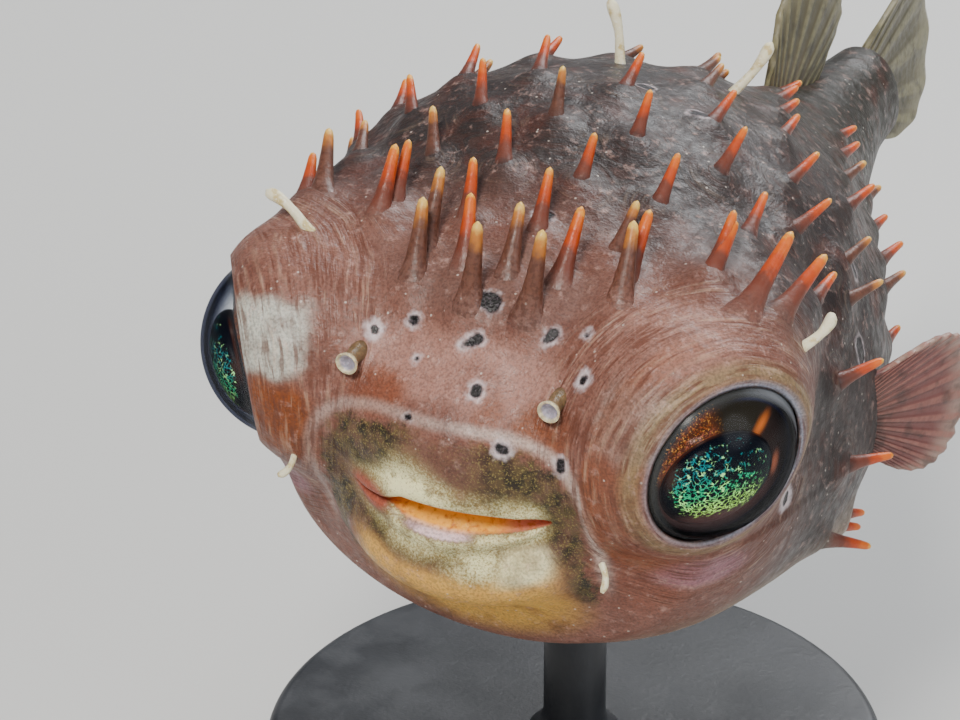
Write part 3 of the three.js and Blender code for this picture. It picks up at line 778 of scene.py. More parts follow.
def outer_grid():
    """The skin outside the mouth, found on a coarse grid first and then exactly."""
    origins, directions = outer_rays()
    rings = np.arange(len(origins))
    picked = np.unique(np.append(rings[::COARSE], rings[-1]))
    coarse = leave(origins[picked, ::COARSE], directions[picked, ::COARSE])
    coarse = np.concatenate([coarse, coarse[:, :1]], axis=1)
    at = np.arange(COLUMNS) / COARSE
    left = at.astype(int)
    rows = mix(coarse[:, left], coarse[:, left + 1], at - left)
    guess = np.stack([np.interp(rings, picked, rows[:, c]) for c in range(COLUMNS)], axis=1)
    inner = guess - GUESS_MARGIN
    for offset in np.arange(RAY_STEP - GUESS_MARGIN, GUESS_MARGIN + RAY_STEP / 2, RAY_STEP):
        inside = flesh(origins + directions * (guess + offset)[..., None]) < 0
        inner = np.where(inside, guess + offset, inner)
    return origins + directions * settle(origins, directions, inner, inner + RAY_STEP)[..., None]


def left_eye_place(grid):
    """The grid's row and column that lie behind the middle of the left eye."""
    found = unit(grid - HEAD_ORIGIN) @ unit(EYE_CENTRE - HEAD_ORIGIN)
    return np.unravel_index(np.argmax(found), found.shape)


def eye_patch(grid, side, row, column):
    """Rearranges the grid into rings round one eye, with a lid and a socket behind the eyeball."""
    flip = np.array([side, 1, 1])
    centre, axes = EYE_CENTRE * flip, EYE_AXES * flip
    rows = np.arange(row - EYE_BLEND, row + EYE_BLEND + 1)
    columns = np.arange(column - EYE_BLEND, column + EYE_BLEND + 1) % COLUMNS
    index = np.ix_(rows, columns)
    steps = np.arange(-EYE_BLEND, EYE_BLEND + 1)
    step = np.maximum(*np.abs(np.meshgrid(steps, steps, indexing="ij")))
    away = unit(grid[index] - HEAD_ORIGIN)
    reach = ((centre - HEAD_ORIGIN) @ axes[0]) / (away @ axes[0])
    flat = (HEAD_ORIGIN + away * reach[..., None] - centre) @ axes[1:].T
    radius = np.linalg.norm(flat, axis=-1)
    around = flat / np.maximum(radius, 1e-6)[..., None]
    ringed = LID_RADIUS + (step - EYE_RINGS) * LID_PITCH
    radius = mix(ringed, radius, smooth(step, EYE_ROUND, EYE_BLEND))
    target = centre + (around * radius[..., None]) @ axes[1:]
    directions = unit(target - HEAD_ORIGIN)
    origins = np.broadcast_to(HEAD_ORIGIN, directions.shape)
    points = origins + directions * leave(origins, directions, reach=EYE_REACH)[..., None]
    local = (points - centre) @ axes.T
    local = lid_and_socket(local, around, step)
    grid[index] = centre + local @ axes


def lid_and_socket(local, around, step):
    """Trims the skin to a clean lid round the eye and lines the socket."""
    radius = np.linalg.norm(local[..., 1:], axis=-1)
    flare = LID_FLARE[0] + LID_FLARE[1] * np.maximum(radius - LID_RADIUS, 0)
    over = local[..., 0] - flare
    local[..., 0] = flare + melt(over, 0 * over, 0.5)
    ball = EYE_RADIUS + LID_CLEARANCE
    edge = math.asin(LID_RADIUS * LID_TUCK / ball)
    turn = edge + (EYE_RINGS - 1 - step) / (EYE_RINGS - 1) * (math.pi - edge)
    height = ball * np.cos(turn) - EYE_SUNK
    lining = np.concatenate([height[..., None], around * (ball * np.sin(turn))[..., None]], axis=-1)
    crest = np.concatenate([np.full_like(radius, LID_CREST)[..., None], around * LID_RADIUS], axis=-1)
    local = np.where((step == EYE_RINGS)[..., None], crest, local)
    return np.where((step < EYE_RINGS)[..., None], lining, local)


POCKET_DEPTH = 6.5
TAIL_ROUNDING = 0.6  # how far the tail's end bulges


def pocket_grid(crest):
    """The lining of the mouth, from deep inside out to the lips' crest."""
    depth = np.linspace(1, 0, POCKET_RINGS, endpoint=False)[:, None]
    opened = np.interp(depth, (0, 0.1, 0.24, 1), (1, 0.8, 0.1, 0.04))
    narrowed = np.interp(depth, (0, 0.2, 1), (1, 0.97, 0.7))
    level = MOUTH_LEVEL + 0.5 * smooth(depth, 0, 0.24) * bell(crest[None, :, 0] / 9)
    x = crest[None, :, 0] * narrowed
    y = crest[None, :, 1] + POCKET_DEPTH * depth + 0.6 * bell(crest[None, :, 0] / 9) * depth
    z = level + (crest[None, :, 2] - MOUTH_LEVEL) * opened
    return np.stack(np.broadcast_arrays(x, y, z), axis=-1)


# Where a spine's foot draws the skin up: how far, its width, its reach ahead and behind.
TENT, TENT_WIDTH, TENT_AHEAD, TENT_BEHIND = 0.7, 1.7, 1.5, 3.0
LIP_SWELL = 0.55


def relief(points, share):
    """How far the skin stands out of the plain form at the spines' feet and along the lips."""
    height = np.zeros(points.shape[:-1])
    for root, along in zip(SPINE_ROOTS, SPINE_ALONG):
        q = points - root
        ahead = q @ along
        aside = np.sqrt(np.maximum((q * q).sum(axis=-1) - ahead**2, 0))
        ahead = np.where(ahead > 0, ahead / TENT_AHEAD, ahead / TENT_BEHIND)
        height += TENT * np.exp(-((aside / TENT_WIDTH) ** 2) - ahead**2)
    lips = bell((share - 0.035) / 0.06) * (1 - smooth(np.abs(points[..., 0]), 5.5, 8.5))
    return height + LIP_SWELL * lips


def skin_grid():
    """All rings of the skin in the straight frame, from the mouth's depth to the tail, and its pole."""
    outer = outer_grid()
    row, column = left_eye_place(outer)
    eye_patch(outer, 1, row, column)
    eye_patch(outer, -1, row, (COLUMNS // 2 - column) % COLUMNS)
    shut = LIPS_SHUT * (1 - smooth(outer[0, :, 0], -4.8, -2.6))
    shut = shut * (MOUTH_LEVEL - outer[0, :, 2])
    outer[:LIP_RINGS, :, 2] += shut * (1 - smooth(np.arange(LIP_RINGS), 0, LIP_RINGS))[:, None]
    share = np.ones(len(outer))
    share[:FACE_RINGS] = np.linspace(0, 1, FACE_RINGS, endpoint=False)
    share = np.broadcast_to(share[:, None], outer.shape[:2])
    in_socket = np.linalg.norm(on_left(outer) - EYE_CENTRE, axis=-1) < LID_RADIUS + 0.3
    height = np.where(in_socket, 0, relief(outer, share))
    outer = outer + outward(outer) * height[..., None]
    pocket = pocket_grid(outer[0])
    middle = np.array([0, TAIL_END, TAIL_ORIGIN_LEVEL])
    closing = np.linspace(0, 1, TAIL_RINGS + 1, endpoint=False)[1:, None, None]
    pole = middle + (0, TAIL_ROUNDING, 0)
    tail = mix(outer[-1], pole, 1 - np.cos(closing * math.pi / 2))
    tail[..., 1] = TAIL_END + TAIL_ROUNDING * np.sin(closing[..., 0] * math.pi / 2)
    return np.concatenate([pocket, outer, tail]), pole


# ---------- the skin's markings as numbers on its mesh ----------

LIP_BAND = 1.9  # how far the lips' gilt reaches from the mouth, in millimetres


def lip_distance(grid):
    """Distance from the lips' crest, in millimetres; negative inside the mouth."""
    crest = grid[POCKET_RINGS, ::4]
    distance = np.full(grid.shape[:2], 30.0)
    near = np.arange(POCKET_RINGS + FACE_RINGS)
    for point in crest:
        distance[near] = np.minimum(distance[near], np.linalg.norm(grid[near] - point, axis=-1))
    distance[:POCKET_RINGS] *= -1
    return distance


def skin_values(grid):
    """Colours, distances and strengths of the markings at every point of the skin."""
    x, y, z = np.moveaxis(grid, -1, 0)
    dark, pale = pore_fields(grid)
    fold, depth = fold_fields(grid)
    lips = lip_distance(grid)
    crest = grid[POCKET_RINGS]
    level = np.interp(x, np.sort(crest[:, 0]), crest[np.argsort(crest[:, 0]), 2])
    under = smooth(level - z, -0.2, 0.6)
    colour = tones(grid)

    def dab(tone, share):
        colour[..., :3] = mix(colour[..., :3], linear(*tone), share[..., None])

    # The pinkish edge of the lower lip, right of its middle.
    strip = np.minimum(2.4 * bell((x + 0.1) / 3.8) * bell((lips - 0.2) / 0.5) * (z < MOUTH_LEVEL), 1)
    dab((240, 208, 212), strip)
    # A reddish lip at the right corner.
    corner = np.minimum(1.6 * bell((x + 5.9) / 3.1) * bell((lips - 0.1) / 1.5), 1)
    dab((172, 88, 66), corner)
    # Yellow flesh below the lower lip and an ivory field at its left.
    below = (1 - smooth(np.abs(x - 0.5), 6.3, 9.2)) * smooth(lips, 2.0, 3.4)
    below = below * (1 - smooth(lips, 8.5, 11)) * under
    dab((228, 176, 84), 0.9 * below)
    ivory = np.minimum(1.8 * bell((x - 6.3) / 2.7) * bell((z + 7.0) / 2.2), 1) * under * (y < 4)
    dab((246, 236, 186), ivory)
    # Inside the lips: orange, salmon at the left corner and redder at the right one.
    inside = mix(linear(250, 178, 60), linear(222, 140, 112), smooth(x, 3.4, 6)[..., None])
    inside = mix(inside, linear(206, 96, 40), smooth(-x, 2.6, 5)[..., None])
    colour[..., :3] = np.where((lips < 0)[..., None], inside, colour[..., :3])
    # The lids' margins, and on the left a ring and a glow round them.
    local = (on_left(grid) - EYE_CENTRE) @ EYE_AXES.T
    rim = np.linalg.norm(local[..., 1:], axis=-1) - LID_RADIUS
    close = np.abs(local[..., 0]) < 4
    ahead = smooth(-local[..., 1], -2, 4)
    edge = bell((rim - 0.05) / 0.36) * close * mix(0.85, 0.4, ahead) * mix(0.5, 1, smooth(x, -1, 1))
    dab((158, 166, 184), edge)
    ring = bell((rim - 0.9) / 0.8) * close * (x > 0)
    dab((150, 134, 92), 0.6 * ring)
    glow = bell((rim - 3.2) / 1.9) * close * ahead * (x > 0)
    dab((150, 80, 40), 0.6 * glow)
    # The socket's lining round the eyeball is painted near black: painted shade in the recess.
    socket = (rim < -0.12) & (np.abs(local[..., 0]) < 16) & (y < 14)
    colour[..., :3] = np.where(socket[..., None], linear(40, 34, 28), colour[..., :3])
    # The lips' gilt, and where the dark field round the mouth shows.
    wide = LIP_BAND * (1 + 0.9 * bell((x + 2.5) / 5))
    gilt = (1 - smooth(lips / wide, 0.1, 1)) * smooth(lips, -0.3, 0)
    gilt = gilt * mix(0.8 + 0.6 * bell((x + 3) / 5.5), 0.85, under)
    gilt = np.maximum(gilt, 0.9 * bell((x - 3.6) / 5) * bell((lips - 1.9) / 2.4) * under)
    gilt = gilt * (1 - strip) * (1 - corner) * (1 - 0.45 * ivory) * (1 - smooth(np.abs(x), 6.8, 8.6))
    cover = 1 - 0.75 * bell((x - 0.4) / 5) * smooth(z, -4.2, -1.2)
    cover = cover * (1 - smooth(-z, 6.8, 8.6) * (1 - smooth(np.abs(x), 8.2, 9.2)))
    cover = cover * (1 - 0.9 * corner) * (1 - strip) * (1 - 0.9 * below) * (1 - ivory)
    cover = cover * (1 - smooth(-z, 12, 14))
    return {
        "tone": colour,
        "dark": dark,
        "pale": pale,
        "fold": fold,
        "depth": depth,
        "lips": lips,
        "gilt": gilt,
        "mask": mask_field(grid),
        "cover": cover * (y < 6),
    }


# ---------- materials ----------

MOTTLE_DARK = shade(96, 50, 38)
MOTTLE_PALE = shade(216, 176, 164)
SHADOW = (0.012, 0.008, 0.006, 1.0)


def mottled(n, tone):
    """A skin colour broken up by the same blotches, flecks and grain on every fleshy piece."""
    blotches = n.ramp(n.noise(3.4, 3.0), 0.5, 0.74, 0.0, 0.5)
    colour = n.blend(tone, MOTTLE_DARK, blotches)
    flecks = n.ramp(n.noise(0.9, 4.0, roughness=0.65), 0.54, 0.74, 0.0, 0.36)
    colour = n.blend(colour, MOTTLE_PALE, flecks)
    specks = n.ramp(n.cells(1.3), 0.05, 0.09, 0.55, 0.0)
    colour = n.blend(colour, shade(232, 222, 210), specks)
    grain = n.ramp(n.noise(0.2, 2.0), 0.34, 0.6, 0.34, 0.0)
    return n.blend(colour, SHADOW, grain)


FOLD_PITCH = 0.23
FOLD_STRETCH = 0.07  # how little the folds change along their length


def folded(n):
    """Fine uneven folds that run along lines of equal fold distance: their height and depth."""
    parts = n.new("ShaderNodeSeparateXYZ")
    n.feed(parts.inputs[0], n.place)
    across = n.math("ADD", n.attribute("fold"), n.math("MULTIPLY", n.noise(6.0, 2.0), 0.6))
    place = n.new("ShaderNodeCombineXYZ")
    n.feed(place.inputs[0], n.math("MULTIPLY", across, MM))
    for k in (1, 2):
        n.feed(place.inputs[k], n.math("MULTIPLY", parts.outputs[k], FOLD_STRETCH))
    height = n.noise(FOLD_PITCH, 2.0, place.outputs[0], roughness=0.6)
    patchy = n.ramp(n.noise(2.2, 3.0), 0.36, 0.62, 0.35, 1.0)
    return height, n.math("MULTIPLY", n.attribute("depth"), patchy)


def skin_material():
    n = Nodes("burrfish skin")
    colour = mottled(n, n.attribute("tone", colour=True))
    folds, depth = folded(n)
    # Darker in the folds' valleys: painted shade; paler on their crests: painted highlight.
    valley_shade = n.math("MULTIPLY", n.ramp(folds, 0.38, 0.49, 0.72, 0.0), depth)
    colour = n.blend(colour, shade(96, 52, 36), valley_shade)
    ridge = n.math("MULTIPLY", n.ramp(folds, 0.52, 0.72, 0.0, 0.26), depth)
    colour = n.blend(colour, shade(224, 190, 160), ridge)

    ragged = n.math("MULTIPLY", n.math("SUBTRACT", n.noise(1.3, 3.0), 0.5), 0.22)
    ragged = n.math("ADD", ragged, n.math("MULTIPLY", n.math("SUBTRACT", n.noise(0.3), 0.5), 0.1))
    inside = n.ramp(n.math("ADD", n.attribute("mask"), ragged), 0.94, 1.02, 1.0, 0.0)
    patchy = n.ramp(n.noise(2.4, 3.0), 0.34, 0.54, 0.7, 1.0)
    inside = n.math("MULTIPLY", n.math("MULTIPLY", inside, patchy), n.attribute("cover"))
    dusk = n.blend(shade(84, 68, 42), shade(40, 33, 22), n.ramp(n.noise(1.0, 3.0), 0.4, 0.6))
    dusk = n.blend(dusk, shade(110, 72, 60), n.ramp(n.noise(1.9, 2.0), 0.56, 0.7, 0.0, 0.4))
    gold_dust = n.ramp(n.noise(0.15, 3.0, roughness=0.7), 0.52, 0.66, 0.0, 0.5)
    dusk = n.blend(dusk, shade(176, 160, 90), gold_dust)
    colour = n.blend(colour, dusk, inside)

    # The lips' gold speckle: the mask's own gilt, made paler towards the lips' edge as a painted highlight.
    gilt = n.math("MULTIPLY", n.attribute("gilt"), n.ramp(n.noise(1.3, 3.0), 0.32, 0.52, 0.6, 1.0))
    scatter_and_highlight = n.math("ADD", n.noise(0.16, 4.0, roughness=0.75), n.math("MULTIPLY", gilt, 0.2))
    gold = n.blend(shade(160, 140, 78), shade(252, 246, 190), n.ramp(scatter_and_highlight, 0.48, 0.74))
    colour = n.blend(colour, gold, n.math("MULTIPLY", gilt, 1.0, clamp=True))

    lips = n.attribute("lips")
    mottle = n.ramp(n.noise(0.4, 4.0), 0.44, 0.8)
    inner = n.blend(n.attribute("tone", colour=True), (0.5, 0.14, 0.01, 1.0), mottle)
    # Darker deep inside the mouth: painted shade.
    inner = n.blend(inner, shade(70, 24, 10), n.ramp(lips, -3.6, -2.4, 1.0, 0.0))
    colour = n.blend(colour, inner, n.ramp(lips, -0.3, 0.02, 1.0, 0.0))

    uneven = n.math("MULTIPLY", n.math("SUBTRACT", n.noise(0.5, 3.0), 0.5), 0.9)
    halo = n.math("ADD", n.attribute("pale"), uneven)
    colour = n.blend(colour, shade(226, 212, 216), n.ramp(halo, -0.5, 0.24, 0.8, 0.0))
    spot = n.math("ADD", n.attribute("dark"), n.math("MULTIPLY", n.noise(0.35, 2.0), 0.24))
    spot = n.ramp(spot, 0.0, 0.22, 1.0, 0.0)
    pit = n.blend(shade(12, 9, 10), shade(66, 58, 64), n.ramp(n.noise(0.16, 2.0), 0.5, 0.66))
    colour = n.blend(colour, pit, spot)

    normal = n.bump(n.noise(2.8, 2.0), 0.34)
    normal = n.bump(n.noise(0.9, 4.0, roughness=0.6), 0.13, normal)
    normal = n.bump(n.math("MULTIPLY", folds, depth), 0.2, normal)
    normal = n.bump(n.noise(0.18, 2.0), 0.03, normal)
    normal = n.bump(n.math("SUBTRACT", 1.0, spot), 0.12, normal)
    n.surface(
        Base_Color=colour,
        Roughness=n.ramp(n.noise(0.8, 3.0), 0.3, 0.7, 0.36, 0.56),
        Normal=normal,
        Specular_IOR_Level=0.34,
        Subsurface_Weight=0.12,
        Subsurface_Radius=(1.0, 0.4, 0.25),
        Subsurface_Scale=1.2 * MM,
    )
    return n.material


def make_skin():
    grid, pole = skin_grid()
    piece = lofted(
        "burrfish_skin",
        bend(grid),
        skin_material(),
        start="flat",
        end=bend(pole[None])[0],
        values=skin_values(grid),
    )
    return settled(
        piece, "skin", "head", "muzzle_upper", "muzzle_lower", "trunk_front", "trunk_rear", "tail"
    )


# ---------- spines ----------

SPINE_SIDES = 14
SPINE_STEPS = 11
SPINE_BURIED = 1.0
PLAIN_FRONT = 3.4  # in front of this station only the chosen spines are vivid
# Where the chosen spines stand: distance to the left and station.
VIVID = ((-8.4, 5), (-1.9, 2.3), (6.3, 4), (9.3, 5), (-5.4, 12.3), (8.7, 12.5), (15.4, 14.6), (2.9, 14.8))
VIVID_SHARE = 0.55
BELLY_PENALTY = 9  # keeps the choice of vivid spines off the belly
SPINE_CELLS = 12  # cells of the bake's square along each side, one to a spine
CELL_MARGIN = 0.05
RING_CROWDING = 0.11
FOOT_CURVE = 6.5  # how suddenly the foot flares
TIP_START, TIP_SPAN = 0.92, 0.081  # where the round tip starts and how long it is, as shares
FOOT_SHARE = 0.4  # up to this height the rings turn from the skin's slant to the spine's
FOOT_EASING = 1.5


# Vivid spines: the colours from the middle up to the tip, as light.
VIVID_RED, VIVID_ORANGE, VIVID_TIP = (0.5, 0.06, 0.004, 1.0), (0.7, 0.14, 0.006, 1.0), (0.86, 0.42, 0.05, 1.0)


def spine_material():
    n = Nodes("burrfish spine")
    skin = mottled(n, n.attribute("tone", colour=True))
    up = n.attribute("height")
    up = n.math("ADD", up, n.math("MULTIPLY", n.math("SUBTRACT", n.noise(0.7, 2.0), 0.5), 0.22))
    streak = n.noise(0.35, 2.0)
    plain = n.blend(skin, shade(104, 64, 48), n.ramp(up, 0.1, 0.5, 0.0, 0.9))
    plain = n.blend(plain, shade(72, 40, 28), n.ramp(streak, 0.46, 0.62, 0.0, 0.55))
    plain = n.blend(plain, shade(186, 116, 48), n.ramp(up, 0.7, 0.86))
    plain = n.blend(plain, shade(232, 190, 96), n.ramp(up, 0.86, 0.97))
    vivid = n.blend(skin, shade(112, 56, 40), n.ramp(up, 0.14, 0.46))
    vivid = n.blend(vivid, VIVID_RED, n.ramp(up, 0.5, 0.68))
    vivid = n.blend(vivid, VIVID_ORANGE, n.ramp(up, 0.72, 0.88))
    vivid = n.blend(vivid, VIVID_TIP, n.ramp(up, 0.9, 0.98))
    colour = n.blend(plain, vivid, n.attribute("warm"))
    normal = n.bump(n.noise(0.5, 3.0), 0.06)
    normal = n.bump(n.noise(0.16, 2.0), 0.02, normal)
    n.surface(
        Base_Color=colour,
        Roughness=n.ramp(n.noise(0.6, 2.0), 0.3, 0.7, 0.36, 0.52),
        Normal=normal,
        Specular_IOR_Level=0.45,
        Subsurface_Weight=0.15,
        Subsurface_Radius=(1.0, 0.35, 0.15),
        Subsurface_Scale=1.0 * MM,
    )
    return n.material


def spine_points(settings):
    """A mesh of bare points, one at each spine's root, that carries what the tree reads."""
    rng = np.random.default_rng(settings.seed)
    count = len(SPINE_ROOTS)
    deep = SPINE_ROOTS - SPINE_ALONG * SPINE_BURIED
    roots = bend(deep)
    along = unit(bend(deep + SPINE_ALONG) - roots)
    wobble = np.radians(settings.wobble) * rng.standard_normal((count, 3)) * 0.5
    along = unit(along + wobble)
    warm = (rng.random(count) < VIVID_SHARE) & (SPINE_ROOTS[:, 1] > PLAIN_FRONT)
    for place in VIVID:
        away = np.linalg.norm(SPINE_ROOTS[:, :2] - place, axis=1)
        warm[np.argmin(away + BELLY_PENALTY * (SPINE_ROOTS[:, 2] < 0))] = True
    mesh = bpy.data.meshes.new("spine roots")
    mesh.from_pydata(roots.tolist(), [], [])
    lengths = (SPINE_LENGTHS + SPINE_BURIED) * (1 + settings.jitter * rng.uniform(-1, 1, count)) * MM
    index = np.arange(count)
    numbers = {
        "length": lengths,
        "girth": np.clip(SPINE_LENGTHS / 6, 0.72, 1.05),
        "warm": warm,
        "cell_u": index % SPINE_CELLS,
        "cell_v": index // SPINE_CELLS,
    }
    for key, value in numbers.items():
        store(mesh, key, value)
    store(mesh, "tone", tones(SPINE_ROOTS))
    for key, value in (("along", along), ("rise", SPINE_NORMALS), ("root", roots)):
        attribute = mesh.attributes.new(key, "FLOAT_VECTOR", "POINT")
        attribute.data.foreach_set("vector", value.astype(np.float32).ravel())
    return mesh


class Tree:
    """A Geometry Nodes tree with short calls for its nodes."""

    def __init__(self, name, **inputs):
        self.tree = bpy.data.node_groups.new(name, "GeometryNodeTree")
        interface = self.tree.interface
        interface.new_socket("Geometry", in_out="INPUT", socket_type="NodeSocketGeometry")
        self.sockets = {
            key: interface.new_socket(key.replace("_", " "), in_out="INPUT", socket_type="NodeSocketFloat")
            for key in inputs
        }
        interface.new_socket("Geometry", in_out="OUTPUT", socket_type="NodeSocketGeometry")
        self.input = self.tree.nodes.new("NodeGroupInput").outputs
        self.values = inputs

    def node(self, kind, settings=None, **sockets):
        node = self.tree.nodes.new(kind)
        for key, value in (settings or {}).items():
            setattr(node, key, value)
        for key, value in sockets.items():
            socket = node.inputs[int(key[1:])] if key[1:].isdigit() else node.inputs[key.replace("_", " ")]
            if isinstance(value, bpy.types.NodeSocket):
                self.tree.links.new(value, socket)
            else:
                socket.default_value = value
        return node.outputs

    def named(self, name, kind="FLOAT"):
        return self.node("GeometryNodeInputNamedAttribute", {"data_type": kind}, Name=name)["Attribute"]

    def math(self, operation, a, b=0.0):
        return self.node("ShaderNodeMath", {"operation": operation}, _0=a, _1=b)[0]

    def vector(self, operation, a, b):
        outputs = self.node("ShaderNodeVectorMath", {"operation": operation}, _0=a, _1=b)
        return outputs["Value" if operation == "DOT_PRODUCT" else "Vector"]

    def keep(self, geometry, name, value, kind="FLOAT", domain="POINT"):
        kept = {"Geometry": geometry, "Name": name, "Value": value}
        settings = {"data_type": kind, "domain": domain}
        return self.node("GeometryNodeStoreNamedAttribute", settings, **kept)[0]

    def applied(self, mesh, name, material):
        """The tree's result for a mesh, as a plain mesh object."""
        host = bpy.data.objects.new(f"{name} host", mesh)
        bpy.context.scene.collection.objects.link(host)
        modifier = host.modifiers.new(name, "NODES")
        modifier.node_group = self.tree
        for key, value in self.values.items():
            modifier[self.sockets[key].identifier] = value
        evaluated = host.evaluated_get(bpy.context.evaluated_depsgraph_get())
        made = bpy.data.meshes.new_from_object(evaluated)
        host.modifiers.remove(modifier)
        bpy.data.objects.remove(host)
        made.name = name
        piece = bpy.data.objects.new(name, made)
        bpy.context.scene.collection.objects.link(piece)
        if not made.materials:
            made.materials.append(material)
        return piece


def spine_tree(settings, material):
    """One spine on every point: a tapering cone with a round tip, laid along its direction."""
    tree = Tree(
        "Burrfish spines",
        Foot_radius=settings.foot_width / 2,
        Body_radius=settings.body_width / 2,
        Tip_radius=settings.tip_width / 2,
        Curl=settings.curl,
    )
    cone = tree.node(
        "GeometryNodeMeshCylinder",
        {"fill_type": "TRIANGLE_FAN"},
        Vertices=SPINE_SIDES,
        Side_Segments=SPINE_STEPS,
        Radius=1.0,
        Depth=1.0,
    )
    shape = tree.keep(cone["Mesh"], "patch", cone["UV Map"], "FLOAT_VECTOR", "CORNER")
    place = tree.node("ShaderNodeSeparateXYZ", _0=tree.node("GeometryNodeInputPosition")[0])
    share = tree.math("ADD", place[2], 0.5)
    # Rings crowd towards both ends: the flared foot and the round tip.
    wave = tree.math("SINE", tree.math("MULTIPLY", share, 2 * math.pi))
    height = tree.math("SUBTRACT", share, tree.math("MULTIPLY", wave, RING_CROWDING))
    down = tree.math("SUBTRACT", 1.0, height)
    taper = tree.math("MULTIPLY", down, tree.input["Body radius"])
    foot = tree.math("MULTIPLY", tree.math("POWER", down, FOOT_CURVE), tree.input["Foot radius"])
    radius = tree.math("ADD", tree.math("ADD", taper, foot), tree.input["Tip radius"])
    end = tree.math("DIVIDE", tree.math("SUBTRACT", height, TIP_START), TIP_SPAN)
    end = tree.math("MAXIMUM", end, 0.0)
    closing = tree.math("MAXIMUM", tree.math("SUBTRACT", 1.0, tree.math("POWER", end, 2.0)), 0.0)
    radius = tree.math("MULTIPLY", radius, tree.math("SQRT", closing))
    moved = tree.node(
        "ShaderNodeCombineXYZ",
        X=tree.math("MULTIPLY", place[0], radius),
        Y=tree.math("MULTIPLY", place[1], radius),
        Z=height,
    )[0]
    shape = tree.keep(shape, "height", height)
    shape = tree.node("GeometryNodeSetPosition", Geometry=shape, Position=moved)[0]
    turn = tree.node(
        "FunctionNodeAlignRotationToVector", {"axis": "Z"}, Vector=tree.named("along", "FLOAT_VECTOR")
    )[0]
    girth = tree.named("girth")
    scale = tree.node("ShaderNodeCombineXYZ", X=girth, Y=girth, Z=tree.named("length"))[0]
    placed = tree.node(
        "GeometryNodeInstanceOnPoints",
        Points=tree.input["Geometry"],
        Instance=shape,
        Rotation=turn,
        Scale=scale,
    )[0]
    placed = tree.node("GeometryNodeRealizeInstances", Geometry=placed)[0]
    up, rise = tree.named("height"), tree.named("rise", "FLOAT_VECTOR")
    lift = tree.math("MULTIPLY", tree.math("POWER", up, 2.0), tree.input["Curl"])
    lift = tree.math("MULTIPLY", lift, tree.named("length"))
    # The foot's rings lie along the skin, the rest across the spine.
    place = tree.node("GeometryNodeInputPosition")[0]
    place = tree.vector("SUBTRACT", place, tree.named("root", "FLOAT_VECTOR"))
    axis = tree.math("MULTIPLY", up, tree.named("length"))
    axis = tree.math("MULTIPLY", axis, tree.vector("DOT_PRODUCT", tree.named("along", "FLOAT_VECTOR"), rise))
    above = tree.math("SUBTRACT", tree.vector("DOT_PRODUCT", place, rise), axis)
    foot = tree.math("SUBTRACT", 1.0, tree.math("DIVIDE", up, FOOT_SHARE))
    foot = tree.math("POWER", tree.math("MAXIMUM", foot, 0.0), FOOT_EASING)
    lift = tree.math("SUBTRACT", lift, tree.math("MULTIPLY", above, foot))
    offset = tree.node("ShaderNodeVectorMath", {"operation": "SCALE"}, _0=rise, Scale=lift)
    placed = tree.node("GeometryNodeSetPosition", Geometry=placed, Offset=offset[0])[0]
    patch = tree.node("ShaderNodeSeparateXYZ", _0=tree.named("patch", "FLOAT_VECTOR"))
    spread = []
    for axis, cell in ((0, "cell_u"), (1, "cell_v")):
        inset = tree.math("MULTIPLY", patch[axis], 1 - 2 * CELL_MARGIN)
        inset = tree.math("ADD", inset, CELL_MARGIN)
        spread.append(tree.math("DIVIDE", tree.math("ADD", inset, tree.named(cell)), float(SPINE_CELLS)))
    unwrapped = tree.node("ShaderNodeCombineXYZ", X=spread[0], Y=spread[1])[0]
    placed = tree.keep(placed, "OFBake", unwrapped, "FLOAT2", "CORNER")
    placed = tree.node("GeometryNodeSetShadeSmooth", Geometry=placed)[0]
    placed = tree.node("GeometryNodeSetMaterial", Geometry=placed, Material=material)[0]
    tree.node("NodeGroupOutput", Geometry=placed)
    return tree


def make_spines(settings):
    material = spine_material()
    tree = spine_tree(settings, material)
    return settled(tree.applied(spine_points(settings), "burrfish_spines", material), "skin")


# ---------- eyes ----------

EYE_SIDES = 128
IRIS_EDGE = 5.95
IRIS_LOW, IRIS_HIGH = 0.1, 1.0
PUPIL_AT = np.array([-0.8, -0.6])  # off the eye's middle, towards the snout and down
LENS_DRIFT = np.array([-0.7, 1.4])  # how far the lens's top lies off the pupil's middle
LENS_CLEARANCE = 0.08
BALL_INSET = 0.3  # how much smaller the ball behind the iris is than the cornea's sphere
CORNEA_SPREAD = 63  # degrees from the cornea's top to its edge


def eye_place(local, side):
    """From an eye's own axes, in millimetres, to the model."""
    return bend((EYE_CENTRE + local @ EYE_AXES) * (side, 1, 1))


def iris_height(flat):
    reach = np.linalg.norm(flat, axis=-1) / IRIS_EDGE
    return IRIS_LOW + (IRIS_HIGH - IRIS_LOW) * np.cos(np.clip(reach, 0, 1) * math.pi / 2) ** 0.8


